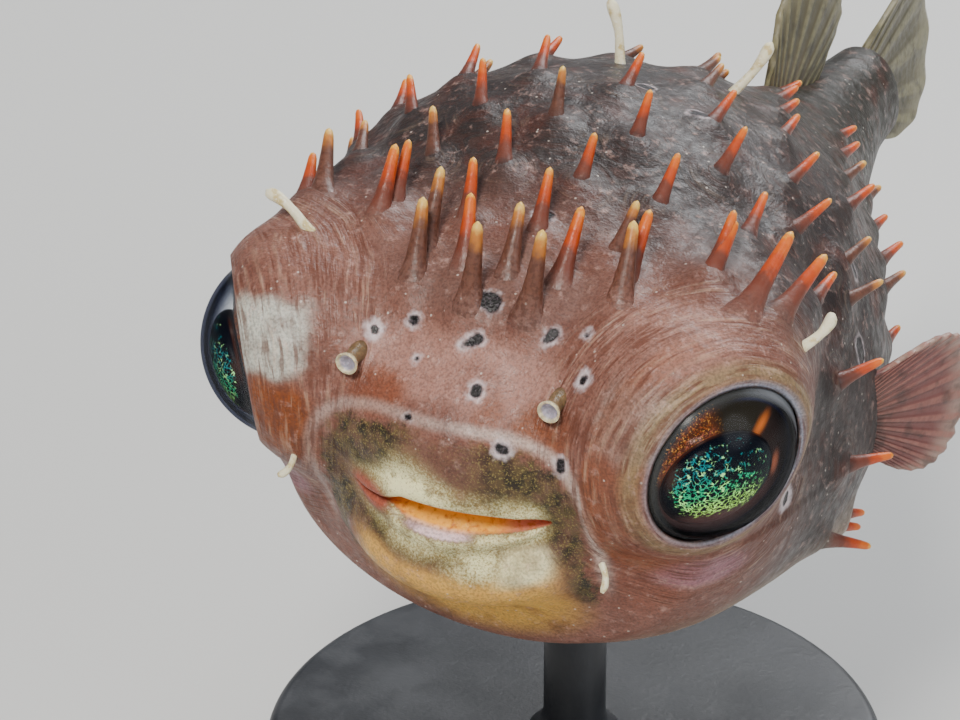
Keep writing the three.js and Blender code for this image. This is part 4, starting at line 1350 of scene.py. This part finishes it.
def eyeball_rings(settings):
    """Lens dome, iris and the ball behind them: rings from the front to the back, each point's place on
    the lens, where 1 is the pupil's edge, and the two poles."""
    angle = np.arange(EYE_SIDES) / EYE_SIDES * 2 * math.pi
    circle = np.stack([np.cos(angle), np.sin(angle)], axis=-1)
    pupil = np.array([settings.pupil_width, settings.pupil_height]) / MM / 2
    rise = settings.lens_rise / MM
    room = EYE_RADIUS - settings.cornea_thickness / MM - LENS_CLEARANCE
    rings, lens = [], []
    for turn in np.linspace(0, math.pi / 2, 30)[1:]:
        flat = PUPIL_AT + circle * pupil * math.sin(turn) + LENS_DRIFT * math.cos(turn)
        under = np.sqrt(room**2 - (flat**2).sum(axis=1)) - EYE_SUNK
        rings.append((flat, np.minimum(iris_height(flat) + rise * math.cos(turn), under)))
        lens.append(circle * math.sin(turn))
    for share in np.linspace(0, 1, 30)[1:]:
        flat = mix(PUPIL_AT + circle * pupil, circle * IRIS_EDGE, share)
        rings.append((flat, iris_height(flat)))
        lens.append(circle * (1 + share))
    ball = EYE_RADIUS - BALL_INSET
    for turn in np.linspace(math.asin(IRIS_EDGE / ball), math.pi, 20)[1:-1]:
        rings.append((circle * ball * math.sin(turn), np.full(EYE_SIDES, ball * math.cos(turn) - EYE_SUNK)))
        lens.append(circle * 3)
    local = np.stack([np.concatenate([height[:, None], flat], axis=1) for flat, height in rings])
    top = PUPIL_AT + LENS_DRIFT
    front = np.array([iris_height(top) + rise, *top])
    return local, np.array(lens), front, np.array([-EYE_SUNK - ball, 0, 0])


def iris_values(local, lens):
    """Colours of iris and pupil, where copper dust lies, and the green net's strength and colour."""
    flat = local[..., 1:] / EYE_RIM
    a, b = flat[..., 0], flat[..., 1]
    reach = np.maximum(np.hypot(a, b), 1e-6)
    u, v = lens[..., 0], lens[..., 1]
    pupil = np.hypot(u, v)
    front = local[..., 0] > -0.3
    colour = np.broadcast_to(linear(40, 24, 20), local.shape).copy()

    def dab(tone, share):
        colour[...] = mix(colour, linear(*tone), np.clip(share, 0, 1)[..., None])

    def towards(degrees, least, most):
        angle = math.radians(degrees)
        return smooth((a * math.cos(angle) + b * math.sin(angle)) / reach, least, most)

    copper = towards(142, 0.72, 0.96) * smooth(reach, 0.4, 0.6)
    dab((104, 68, 62), smooth(-b, 0.1, 0.6))
    dab((164, 80, 32), copper)
    dab((196, 108, 84), bell((pupil - 1.14) / 0.17) * towards(140, 0.8, 0.97))
    # A small white-pink spot high on the iris, towards the snout: a painted highlight.
    dab((240, 196, 180), bell(np.hypot((a + 0.47) / 0.12, (b - 0.5) / 0.05)))
    dab((40, 34, 24), towards(78, 0.76, 0.96))
    dab((226, 116, 40), bell(np.hypot((a - 0.39 - 0.6 * (b - 0.47)) / 0.12, (b - 0.47) / 0.22)))
    dab((220, 124, 84), 0.9 * bell(np.hypot((a - 0.66) / 0.08, (b + 0.13) / 0.24)))
    dab((4, 8, 20), 1 - smooth(pupil, 0.96, 1.02))
    dab((86, 60, 50), 0.55 * bell(np.hypot((u + 0.84) / 0.16, (v - 0.2) / 0.5)))
    dab((108, 70, 64), smooth(-v, 0.58, 0.84) * (pupil < 1))
    dab((16, 12, 18), bell((pupil - 1.0) / 0.035))
    dab((24, 28, 76), 0.9 * bell((reach - 0.865) / 0.03) * smooth(a, -0.1, 0.4))
    dab((44, 40, 28), smooth(reach, 0.87, 0.9))
    gold = copper * smooth(pupil, 1.0, 1.06) * (1 - smooth(reach, 0.9, 0.93))
    dense = smooth(0.5 - 0.6 * u - 0.7 * v, -0.15, 0.9)
    net = (1 - smooth(pupil, 0.78, 0.92)) * (1 - smooth(-v, 0.66, 0.8)) * mix(0.12, 1, dense)
    low = smooth(0.2 * u - v, -0.5, 0.75)
    net_colour = mix(np.array([0.0, 0.2, 0.22]), np.array([0.01, 0.5, 0.2]), smooth(low, 0, 0.55)[..., None])
    net_colour = mix(net_colour, np.array([0.5, 0.9, 0.14]), smooth(low, 0.55, 1)[..., None])
    colour = np.where(front[..., None], colour, linear(60, 58, 52))
    ones = np.ones_like(a)[..., None]
    return {
        "tone": np.concatenate([colour, ones], axis=-1),
        "net_tone": np.concatenate([net_colour, ones], axis=-1),
        "gold": gold * front,
        "net": net * front,
    }


def iris_material():
    n = Nodes("burrfish eye")
    tone = n.attribute("tone", colour=True)
    dust = n.ramp(n.noise(0.2, 3.0, roughness=0.7), 0.5, 0.6)
    between = n.math("MULTIPLY", n.attribute("gold"), n.ramp(dust, 0, 1, 0.8, 0))
    colour = n.blend(tone, shade(20, 24, 26), between)
    bright = n.math("MULTIPLY", n.attribute("gold"), n.ramp(n.noise(0.16, 2.0), 0.58, 0.68))
    colour = n.blend(colour, shade(246, 170, 70), bright)
    swirl = n.new("ShaderNodeTexNoise")
    n.feed(swirl.inputs["Vector"], n.place)
    n.feed(swirl.inputs["Scale"], 1 / (0.6 * MM))
    bent = n.new("ShaderNodeVectorMath", operation="MULTIPLY_ADD")
    n.feed(bent.inputs[0], swirl.outputs["Color"])
    n.feed(bent.inputs[1], (0.8 * MM,) * 3)
    n.feed(bent.inputs[2], n.place)
    thread = n.ramp(n.cells(0.38, "DISTANCE_TO_EDGE", bent.outputs[0]), 0.04, 0.13, 1.0, 0.0)
    gaps = n.math("ADD", n.noise(0.5, 4.0, roughness=0.7), n.math("MULTIPLY", n.attribute("net"), 0.2))
    gaps = n.ramp(gaps, 0.58, 0.66)
    thread = n.math("MULTIPLY", n.math("MULTIPLY", thread, gaps), n.ramp(n.attribute("net"), 0.02, 0.12))
    # Paler sparks in the net: painted highlights.
    spark = n.ramp(n.noise(0.4, 2.0), 0.5, 0.66)
    net_tone = n.attribute("net_tone", colour=True)
    bright = n.blend(net_tone, (0.6, 1.0, 0.25, 1.0), n.math("MULTIPLY", spark, 0.6))
    colour = n.blend(colour, bright, thread)
    # The threads glow, most at the sparks: painted light.
    glow = n.math("MULTIPLY", thread, n.ramp(spark, 0.0, 1.0, 0.45, 1.2))
    n.surface(
        Base_Color=colour,
        Roughness=0.4,
        Specular_IOR_Level=0.08,
        Emission_Color=bright,
        Emission_Strength=glow,
    )
    return n.material


def cornea_material():
    n = Nodes("burrfish cornea")
    # The clear shell darkens where it is seen edge-on.
    facing = n.new("ShaderNodeLayerWeight").outputs["Facing"]
    tint = n.blend((0.96, 0.97, 0.98, 1.0), (0.16, 0.18, 0.26, 1.0), n.ramp(facing, 0.28, 0.82))
    clear, shine = n.clear_over(tint, 0.006, 0.12, 0.16)
    haze = n.new("ShaderNodeBsdfPrincipled")
    n.feed(haze.inputs["Base Color"], shade(132, 136, 142))
    n.feed(haze.inputs["Roughness"], 0.3)
    mixed = n.new("ShaderNodeMixShader")
    n.feed(mixed.inputs[0], n.attribute("edge"))
    n.feed(mixed.inputs[1], clear.outputs[0])
    n.feed(mixed.inputs[2], haze.outputs[0])
    n.feed(shine.inputs[1], mixed.outputs[0])
    return n.material


def cornea_rings(settings):
    """A thin clear shell: rings from its outer top to its edge and back to its inner top."""
    angle = np.arange(EYE_SIDES) / EYE_SIDES * 2 * math.pi
    turns = np.linspace(0, math.radians(CORNEA_SPREAD), 26)[1:]
    inner = EYE_RADIUS - settings.cornea_thickness / MM
    rings = []
    for radius, order in ((EYE_RADIUS, turns), (inner, turns[::-1])):
        for turn in order:
            flat = radius * math.sin(turn)
            height = np.full(EYE_SIDES, radius * math.cos(turn) - EYE_SUNK)
            rings.append(np.stack([height, flat * np.cos(angle), flat * np.sin(angle)], axis=1))
    return np.array(rings), np.array([EYE_BULGE, 0, 0]), np.array([inner - EYE_SUNK, 0, 0])


def hazy(local):
    """How milky the cornea is: only near its edge, and most on the side away from the snout."""
    reach = np.linalg.norm(local[..., 1:], axis=-1)
    return smooth(reach, 5.5, 6.0) * mix(0.1, 0.85, smooth(local[..., 1], 0, 4))


def make_eyes(settings):
    iris, cornea = iris_material(), cornea_material()
    made = []
    for word, side in (("left", 1), ("right", -1)):
        local, lens, front, back = eyeball_rings(settings)
        values = iris_values(local, lens)
        ends = [eye_place(point[None], side)[0] for point in (front, back)]
        ball = lofted(f"eyeball_{word}", eye_place(local, side), iris, *ends, values=values)
        made.append(settled(ball, "eye", f"eye_{word}"))
        local, front, back = cornea_rings(settings)
        ends = [eye_place(point[None], side)[0] for point in (front, back)]
        shell = lofted(f"cornea_{word}", eye_place(local, side), cornea, *ends, values={"edge": hazy(local)})
        made.append(settled(shell, "eye"))
    return made


# ---------- nostrils and feelers ----------

NOSTRIL_ROOT = (8, -3.6, 3.9)
NOSTRIL_FACING = (0, -1, -0.1)
NOSTRIL_SIDES = 48
# Radius, height and colour along the tube, round its rim and down into the cup.
TUBE, RIM, CUP = linear(128, 104, 72), linear(226, 212, 172), linear(176, 168, 184)
NOSTRIL_PROFILE = (
    (0.72, -0.9, TUBE), (0.68, 0, TUBE), (0.6, 0.4, TUBE), (0.6, 0.8, TUBE), (0.68, 1.1, TUBE),
    (0.8, 1.36, RIM), (0.86, 1.52, RIM), (0.85, 1.62, RIM), (0.78, 1.64, RIM), (0.68, 1.52, RIM),
    (0.56, 1.36, CUP), (0.36, 1.22, CUP), (0.14, 1.16, CUP),
)


def feeler_material():
    """Pale thin flesh: two tones, fine grain."""
    n = Nodes("burrfish feeler")
    colour = n.blend(shade(236, 228, 196), shade(206, 186, 130), n.ramp(n.noise(0.7, 3.0), 0.46, 0.66))
    colour = n.blend(colour, shade(250, 246, 236), n.ramp(n.noise(0.22, 2.0), 0.58, 0.7, 0.0, 0.6))
    n.surface(
        Base_Color=colour,
        Roughness=n.ramp(n.noise(0.5, 2.0), 0.3, 0.7, 0.34, 0.5),
        Normal=n.bump(n.noise(0.3, 3.0), 0.05),
        Subsurface_Weight=0.2,
        Subsurface_Radius=(1.0, 0.8, 0.5),
        Subsurface_Scale=0.6 * MM,
    )
    return n.material


def make_nostrils():
    n = Nodes("burrfish nostril")
    tone = n.attribute("tone", colour=True)
    n.surface(
        Base_Color=n.blend(tone, SHADOW, n.ramp(n.noise(0.3, 3.0), 0.42, 0.62, 0.35, 0.0)),
        Roughness=n.ramp(n.noise(0.5, 2.0), 0.3, 0.7, 0.3, 0.46),
        Normal=n.bump(n.noise(0.3, 3.0), 0.05),
        Subsurface_Weight=0.15,
        Subsurface_Scale=0.6 * MM,
    )
    rings = turned_rings([place[:2] for place in NOSTRIL_PROFILE], NOSTRIL_SIDES)
    tones_round = np.array([(*place[2], 1.0) for place in NOSTRIL_PROFILE])[:, None]
    tones_round = tones_round.repeat(NOSTRIL_SIDES, axis=1)
    made = []
    for word, side in (("left", 1), ("right", -1)):
        root = on_skin(np.array([NOSTRIL_ROOT], float) * (side, 1, 1))
        axes = basis(NOSTRIL_FACING)
        poles = np.array([[0, 0, NOSTRIL_PROFILE[0][1]], [0, 0, NOSTRIL_PROFILE[-1][1]]])
        poles = bend(root + poles @ axes)
        values = {"tone": tones_round}
        cup = lofted(f"nostril_{word}_cup", bend(root + rings @ axes), n.material, *poles, values=values)
        made.append(settled(cup, "feeler", f"nostril_{word}"))
    return made


FEELER_SIDES, FEELER_RINGS = 20, 22
FEELER_BURIED = 0.8
FEELER_SWAY = 0.35
FEELER_FLATNESS = 0.85
# Share of the length and radius: a thin stalk with a swollen round end.
FEELER_PROFILE = ((0, 0.55), (0.2, 0.45), (0.55, 0.38), (0.84, 0.56), (0.93, 0.52), (0.98, 0.34), (1, 0.12))


def make_feelers():
    material = feeler_material()
    made = []
    for name, (root, direction, length) in FEELERS.items():
        root = on_skin(np.array([root], float))
        axes = basis(np.array(direction, float))
        share = np.linspace(0, 1, FEELER_RINGS)
        heights = mix(-FEELER_BURIED, length, share)
        radii = np.interp(share, *zip(*FEELER_PROFILE))
        radii = radii * (0.55 if "cheek" in name else 0.9)
        rings = turned_rings(np.stack([radii, heights], axis=1), FEELER_SIDES)
        sway = FEELER_SWAY * np.sin(share * math.pi * 1.3) * share
        rings[..., 0] += sway[:, None]
        rings[..., 1] *= FEELER_FLATNESS
        poles = np.array([[0, 0, -FEELER_BURIED], [sway[-1], 0, length + 0.05]])
        poles = bend(root + poles @ axes)
        stalk = lofted(f"feeler_{name}", bend(root + rings @ axes), material, *poles)
        made.append(settled(stalk, "feeler", f"cirrus_{name}"))
    return made


# ---------- fins ----------

FIN_ROOT_DEPTH = 1.6
FIN_COLUMNS = 60
FIN_RINGS = 34
FIN_THICKNESS = (0.38, 0.24)  # half of it, at the root and at the edge
RAY_RELIEF = 0.1
WEB_DIP = 0.035  # how much shorter the webs between the rays are, as a share

# Root, direction along the base, direction outwards, width of the base, length, flare, rays.
FINS = {
    "pectoral": ((23.2, 27, -8.4), (0, -0.16, 1), (0.5, 0.86, -0.12), 7.0, 9.5, 3.6, 19),
    "dorsal": ((0, 55.5, 3.4), (0, 1, -0.42), (0, 0.62, 0.78), 8.0, 10.0, 2.4, 12),
    "anal": ((0, 57.5, -8.9), (0, 1, 0.42), (0, 0.66, -0.75), 7.0, 8.5, 2.2, 11),
    "caudal": ((0, TAIL_END, -2.6), (0, 0, 1), (0, 1, 0), 7.4, 16.0, 5.0, 9),
}


def fin_outline(t, wide, long, flare):
    """The fan's edge from its base corner (t = 0) to its tip (t = 1), on one side."""
    half = wide / 2
    corners = ((half, 0), (half + flare, long * 0.45), (half + flare, long * 0.98), (0, long))
    weights = ((1 - t) ** 3, 3 * t * (1 - t) ** 2, 3 * t * t * (1 - t), t**3)
    return sum(w[..., None] * np.array(c) for w, c in zip(weights, corners))


def fin_rings(name):
    """Flattened loops from the buried root out to the edge, and each point's place on the fan."""
    root, base, reach, wide, long, flare, rays = FINS[name]
    u = np.concatenate([np.linspace(-1, 1, FIN_COLUMNS + 1), np.linspace(1, -1, FIN_COLUMNS + 1)[1:-1]])
    face = np.ones(len(u))
    face[FIN_COLUMNS + 1 :] = -1
    face[[0, FIN_COLUMNS]] = 0
    v = np.linspace(0, 1, FIN_RINGS)[:, None]
    edge = fin_outline(1 - np.abs(u), wide, long, flare) * np.stack([np.sign(u), 1 + 0 * u], axis=1)
    dip = np.abs(np.sin(u * rays * math.pi / 2)) ** 2
    foot = np.stack([u * wide * 0.45, 0 * u - FIN_ROOT_DEPTH], axis=1)
    flat = foot + (edge - foot) * v[..., None] * (1 - WEB_DIP * dip[:, None] * v[..., None])
    ridge = np.cos(u * rays * math.pi / 2) ** 4
    thick = mix(*FIN_THICKNESS, v) + RAY_RELIEF * ridge * (1 - 0.5 * v)
    thick = thick * np.sqrt(np.maximum(1 - np.abs(u) ** 12, 0.02)) * (1 - 0.5 * smooth(v, 0.97, 1))
    wave = 0.45 * np.sin(u * 5.0 + 1) * v**2 + 0.5 * (1 - u**2) * v**2 * (name == "pectoral")
    outwards = unit(np.array(reach, float))
    normal = unit(np.cross(np.array(base, float), outwards))
    along = np.cross(outwards, normal)
    lift = wave + thick * face
    points = np.array(root) + flat[..., :1] * along + flat[..., 1:] * outwards + lift[..., None] * normal
    shape = np.broadcast_to(u, lift.shape), np.broadcast_to(v, lift.shape)
    return points, shape, rays


def fin_material(name, root_tone, mid_tone, edge_tone, streak_tone):
    n = Nodes(name)
    out = n.attribute("out")
    colour = n.blend(root_tone, mid_tone, n.ramp(out, 0.05, 0.5))
    colour = n.blend(colour, edge_tone, n.ramp(out, 0.72, 0.98))
    ray = n.math("ABSOLUTE", n.math("COSINE", n.math("MULTIPLY", n.attribute("ray"), math.pi / 2)))
    joint = n.ramp(n.noise(0.5, 2.0), 0.4, 0.6, 0.55, 1.0)
    colour = n.blend(colour, streak_tone, n.math("MULTIPLY", n.ramp(ray, 0.72, 0.95, 0.0, 0.75), joint))
    colour = n.blend(colour, n.blend(colour, SHADOW, 0.5), n.ramp(n.noise(1.6, 3.0), 0.5, 0.7))
    normal = n.bump(n.ramp(ray, 0.4, 1.0), 0.1)
    normal = n.bump(n.noise(0.3, 3.0), 0.03, normal)
    n.surface(
        Base_Color=colour,
        Roughness=n.ramp(n.noise(0.7, 2.0), 0.3, 0.7, 0.4, 0.55),
        Normal=normal,
        Subsurface_Weight=0.2,
        Subsurface_Radius=(1.0, 0.6, 0.4),
        Subsurface_Scale=0.8 * MM,
    )
    return n.material


# Tones at the root, in the middle, at the edge and along the rays: the fins' own colours, kept dark as
# painted shade.
RED_FIN_AND_SHADE = ((104, 70, 62), (112, 66, 62), (160, 132, 120), (150, 98, 86))
OLIVE_FIN_AND_SHADE = ((92, 80, 62), (86, 80, 58), (130, 124, 98), (136, 130, 96))


def make_fins():
    red = fin_material("burrfish pectoral fin", *(shade(*tone) for tone in RED_FIN_AND_SHADE))
    olive = fin_material("burrfish tail fins", *(shade(*tone) for tone in OLIVE_FIN_AND_SHADE))
    made = []
    for name in FINS:
        points, (u, v), rays = fin_rings(name)
        values = {"out": v, "ray": u * rays}
        twins = (("_left", 1), ("_right", -1)) if name == "pectoral" else (("", 1),)
        for word, side in twins:
            material = red if name == "pectoral" else olive
            rings = bend(points * (side, 1, 1))
            fin = lofted(f"fin_{name}{word}", rings, material, "flat", "flat", values=values)
            made.append(settled(fin, "fin", f"{name}_fin{word}"))
    return made


# ---------- stand ----------


def stand_material():
    n = Nodes("stand satin")
    tone = n.blend(shade(38, 40, 44), shade(56, 58, 62), n.ramp(n.noise(6.0, 4.0), 0.4, 0.7))
    n.surface(
        Base_Color=tone,
        Roughness=n.ramp(n.noise(3.0, 4.0), 0.3, 0.7, 0.34, 0.46),
        Normal=n.bump(n.noise(0.4, 3.0), 0.02),
    )
    return n.material


DISC_SIDES, ROD_SIDES = 128, 48
DISC_ROUNDING = 0.9
DISC_CHAMFER = 0.3
ROD_SUNK = 0.4  # how deep the rod's foot stands in the disc
ROD_BURIED = 0.8  # how far the rod goes on into the belly


def upright(node):
    """The middle of a round upright node at the floor, its radius and its top."""
    low, high = node_box(node)
    return (low + high) / 2 * (1, 1, 0), (high[0] - low[0]) / 2, high[2]


def stand_piece(name, node, material, profile, sides, centre):
    """A turned piece of the stand, closed in the middle at its first and last heights."""
    rings = (turned_rings(profile, sides) + centre) * MM
    ends = [(centre + (0, 0, profile[at][1])) * MM for at in (0, -1)]
    return settled(lofted(name, rings, material, *ends), "stand", node)


def make_stand():
    material = stand_material()
    centre, radius, height = upright("stand_base")
    profile = [(radius - 1.4, 0), (radius - DISC_CHAMFER, 0), (radius, DISC_CHAMFER)]
    for turn in np.linspace(0, math.pi / 2, 8):
        inset, drop = DISC_ROUNDING * (1 - math.cos(turn)), DISC_ROUNDING * (1 - math.sin(turn))
        profile.append((radius - inset, height - drop))
    profile += [(radius * 0.6, height), (4, height)]
    base = stand_piece("stand_base_disc", "stand_base", material, profile, DISC_SIDES, centre)
    foot = height - ROD_SUNK
    centre, radius, top = upright("stand_rod")
    profile = [(radius + 1.3, foot), (radius + 1.2, foot + 0.7), (radius + 0.3, foot + 1.5)]
    profile += [(radius, foot + 2.4), (radius, top), (radius * 0.8, top + ROD_BURIED)]
    rod = stand_piece("stand_rod_round", "stand_rod", material, profile, ROD_SIDES, centre)
    return [base, rod]


# ---------- floor, lights and camera ----------

# Soft round lamps: metres from the fish towards the camera, to the right and up, width, colour.
LAMPS = (
    ("key", 0.62, -0.22, 0.42, 0.3, (1.0, 0.96, 0.9)),
    ("fill", 0.5, 0.6, 0.1, 0.5, (0.94, 0.97, 1.0)),
    ("rim", -0.45, 0.2, 0.6, 0.4, (0.96, 0.98, 1.0)),
)
CAMERA_TURN = 27.5
CAMERA_RISE = 27.0
CAMERA_AWAY = 300
CAMERA_LIFT = 3.2
CAMERA_LENS = 157.5
CAMERA_CLIP = 0.01  # metres
FLOOR_REACH = 2  # metres from the middle to the floor's edges


def camera_axes():
    """Right, up and backwards as the camera sees them, in the model."""
    turn, rise = math.radians(CAMERA_TURN), math.radians(CAMERA_RISE)
    back = np.array([math.sin(turn) * math.cos(rise), -math.cos(turn) * math.cos(rise), math.sin(rise)])
    right = np.array([math.cos(turn), math.sin(turn), 0])
    return right, np.cross(back, right), back


def area_light(name, place, aim, size, power, tint):
    data = bpy.data.lights.new(name, "AREA")
    data.shape = "DISK"
    data.size = size
    data.energy = power
    data.color = tint
    lamp = bpy.data.objects.new(name, data)
    lamp.location = place
    lamp.rotation_euler = (aim - place).to_track_quat("-Z", "Y").to_euler()
    bpy.context.scene.collection.objects.link(lamp)


def make_stage(settings):
    n = Nodes("studio floor")
    n.surface(Base_Color=shade(205, 205, 203), Roughness=0.7)
    corners = [(x * FLOOR_REACH, y * FLOOR_REACH, 0) for x, y in ((-1, -1), (1, -1), (1, 1), (-1, 1))]
    mesh = bpy.data.meshes.new("studio_floor")
    mesh.from_pydata(corners, [], [(0, 1, 2, 3)])
    mesh.materials.append(n.material)
    floor = bpy.data.objects.new("studio_floor", mesh)
    bpy.context.scene.collection.objects.link(floor)

    right, up, back = (Vector(axis) for axis in camera_axes())
    aim = Vector(ZERO * MM)
    for name, towards, aside, above, size, tint in LAMPS:
        place = aim + back * towards + right * aside + Vector((0, 0, above))
        area_light(name, place, aim, size, getattr(settings, f"{name}_power"), tint)

    world = bpy.data.worlds.new("studio")
    world.use_nodes = True
    world.node_tree.nodes["Background"].inputs["Color"].default_value = (0.9, 0.93, 1.0, 1.0)
    world.node_tree.nodes["Background"].inputs["Strength"].default_value = settings.surround
    bpy.context.scene.world = world

    data = bpy.data.cameras.new("camera")
    data.sensor_width = 36
    data.lens = CAMERA_LENS
    data.clip_start = CAMERA_CLIP
    camera = bpy.data.objects.new("camera", data)
    camera.location = aim + (back * CAMERA_AWAY + up * CAMERA_LIFT) * MM
    camera.rotation_euler = back.to_track_quat("Z", "Y").to_euler()
    bpy.context.scene.collection.objects.link(camera)
    bpy.context.scene.camera = camera


# ---------- the add-on ----------


class SpineSettings(bpy.types.PropertyGroup):
    foot_width: FloatProperty(
        name="Foot width", description="How much the foot flares into the skin", default=0.0038, unit="LENGTH"
    )
    body_width: FloatProperty(
        name="Body width", description="How much a spine widens to its foot", default=0.0011, unit="LENGTH"
    )
    tip_width: FloatProperty(
        name="Tip width", description="Width just below a spine's round tip", default=0.0007, unit="LENGTH"
    )
    curl: FloatProperty(name="Curl", description="Rise of a tip, as a share of its length", default=0.1)
    jitter: FloatProperty(name="Jitter", description="How much the lengths vary, as a share", default=0.08)
    wobble: FloatProperty(name="Wobble", description="How far spines lean astray, in degrees", default=6.0)
    seed: IntProperty(name="Seed", description="Chooses the spread of lengths and colours", default=5)


class EyeSettings(bpy.types.PropertyGroup):
    pupil_width: FloatProperty(
        name="Pupil width", description="Width of the pupil along the head", default=0.009, unit="LENGTH"
    )
    pupil_height: FloatProperty(
        name="Pupil height", description="Height of the pupil", default=0.0076, unit="LENGTH"
    )
    lens_rise: FloatProperty(
        name="Lens rise", description="How far the lens stands out of the iris", default=0.0019, unit="LENGTH"
    )
    cornea_thickness: FloatProperty(
        name="Cornea thickness", description="Thickness of the clear shell", default=0.00025, unit="LENGTH"
    )


class StageSettings(bpy.types.PropertyGroup):
    key_power: FloatProperty(name="Key power", description="Main soft lamp", default=9.0, unit="POWER")
    fill_power: FloatProperty(
        name="Fill power", description="Soft lamp on the far side", default=2.0, unit="POWER"
    )
    rim_power: FloatProperty(name="Rim power", description="Soft lamp from behind", default=3.5, unit="POWER")
    surround: FloatProperty(name="Surround", description="Strength of the light from all round", default=0.26)


class BurrfishSettings(bpy.types.PropertyGroup):
    spines: PointerProperty(type=SpineSettings)
    eyes: PointerProperty(type=EyeSettings)
    stage: PointerProperty(type=StageSettings)


class BURRFISH_OT_skin(bpy.types.Operator):
    """Make the one skin that covers the head, trunk and tail"""

    bl_idname = "burrfish.skin"
    bl_label = "Skin"

    def execute(self, context):
        make_skin()
        return {"FINISHED"}


class BURRFISH_OT_spines(bpy.types.Operator):
    """Make the fleshy spines"""

    bl_idname = "burrfish.spines"
    bl_label = "Spines"

    def execute(self, context):
        make_spines(context.scene.burrfish.spines)
        return {"FINISHED"}


class BURRFISH_OT_eyes(bpy.types.Operator):
    """Make both eyeballs and their clear corneas"""

    bl_idname = "burrfish.eyes"
    bl_label = "Eyes"

    def execute(self, context):
        make_eyes(context.scene.burrfish.eyes)
        return {"FINISHED"}


class BURRFISH_OT_face(bpy.types.Operator):
    """Make the nostrils and the feelers"""

    bl_idname = "burrfish.face"
    bl_label = "Nostrils and feelers"

    def execute(self, context):
        make_nostrils()
        make_feelers()
        return {"FINISHED"}


class BURRFISH_OT_fins(bpy.types.Operator):
    """Make the five fins"""

    bl_idname = "burrfish.fins"
    bl_label = "Fins"

    def execute(self, context):
        make_fins()
        return {"FINISHED"}


class BURRFISH_OT_stand(bpy.types.Operator):
    """Make the display stand"""

    bl_idname = "burrfish.stand"
    bl_label = "Stand"

    def execute(self, context):
        make_stand()
        return {"FINISHED"}


class BURRFISH_OT_stage(bpy.types.Operator):
    """Make the floor, the lights and the camera"""

    bl_idname = "burrfish.stage"
    bl_label = "Floor, lights and camera"

    def execute(self, context):
        make_stage(context.scene.burrfish.stage)
        return {"FINISHED"}


OPERATORS = (
    BURRFISH_OT_skin,
    BURRFISH_OT_spines,
    BURRFISH_OT_eyes,
    BURRFISH_OT_face,
    BURRFISH_OT_fins,
    BURRFISH_OT_stand,
    BURRFISH_OT_stage,
)


class BURRFISH_PT_panel(bpy.types.Panel):
    bl_idname = "BURRFISH_PT_panel"
    bl_label = "Burrfish"
    bl_space_type = "VIEW_3D"
    bl_region_type = "UI"
    bl_category = "Burrfish"

    def draw(self, context):
        settings = context.scene.burrfish
        for group in (settings.spines, settings.eyes, settings.stage):
            box = self.layout.box()
            for key in group.bl_rna.properties.keys():
                if key not in ("rna_type", "name"):
                    box.prop(group, key)
        for operator in OPERATORS:
            self.layout.operator(operator.bl_idname)


CLASSES = (SpineSettings, EyeSettings, StageSettings, BurrfishSettings, *OPERATORS, BURRFISH_PT_panel)


def register():
    for each in CLASSES:
        bpy.utils.register_class(each)
    bpy.types.Scene.burrfish = PointerProperty(type=BurrfishSettings)


def unregister():
    del bpy.types.Scene.burrfish
    for each in reversed(CLASSES):
        bpy.utils.unregister_class(each)


def main():
    register()
    bpy.ops.burrfish.skin()
    bpy.ops.burrfish.spines()
    bpy.ops.burrfish.eyes()
    bpy.ops.burrfish.face()
    bpy.ops.burrfish.fins()
    bpy.ops.burrfish.stand()
    bpy.ops.burrfish.stage()


if __name__ == "__main__":
    main()
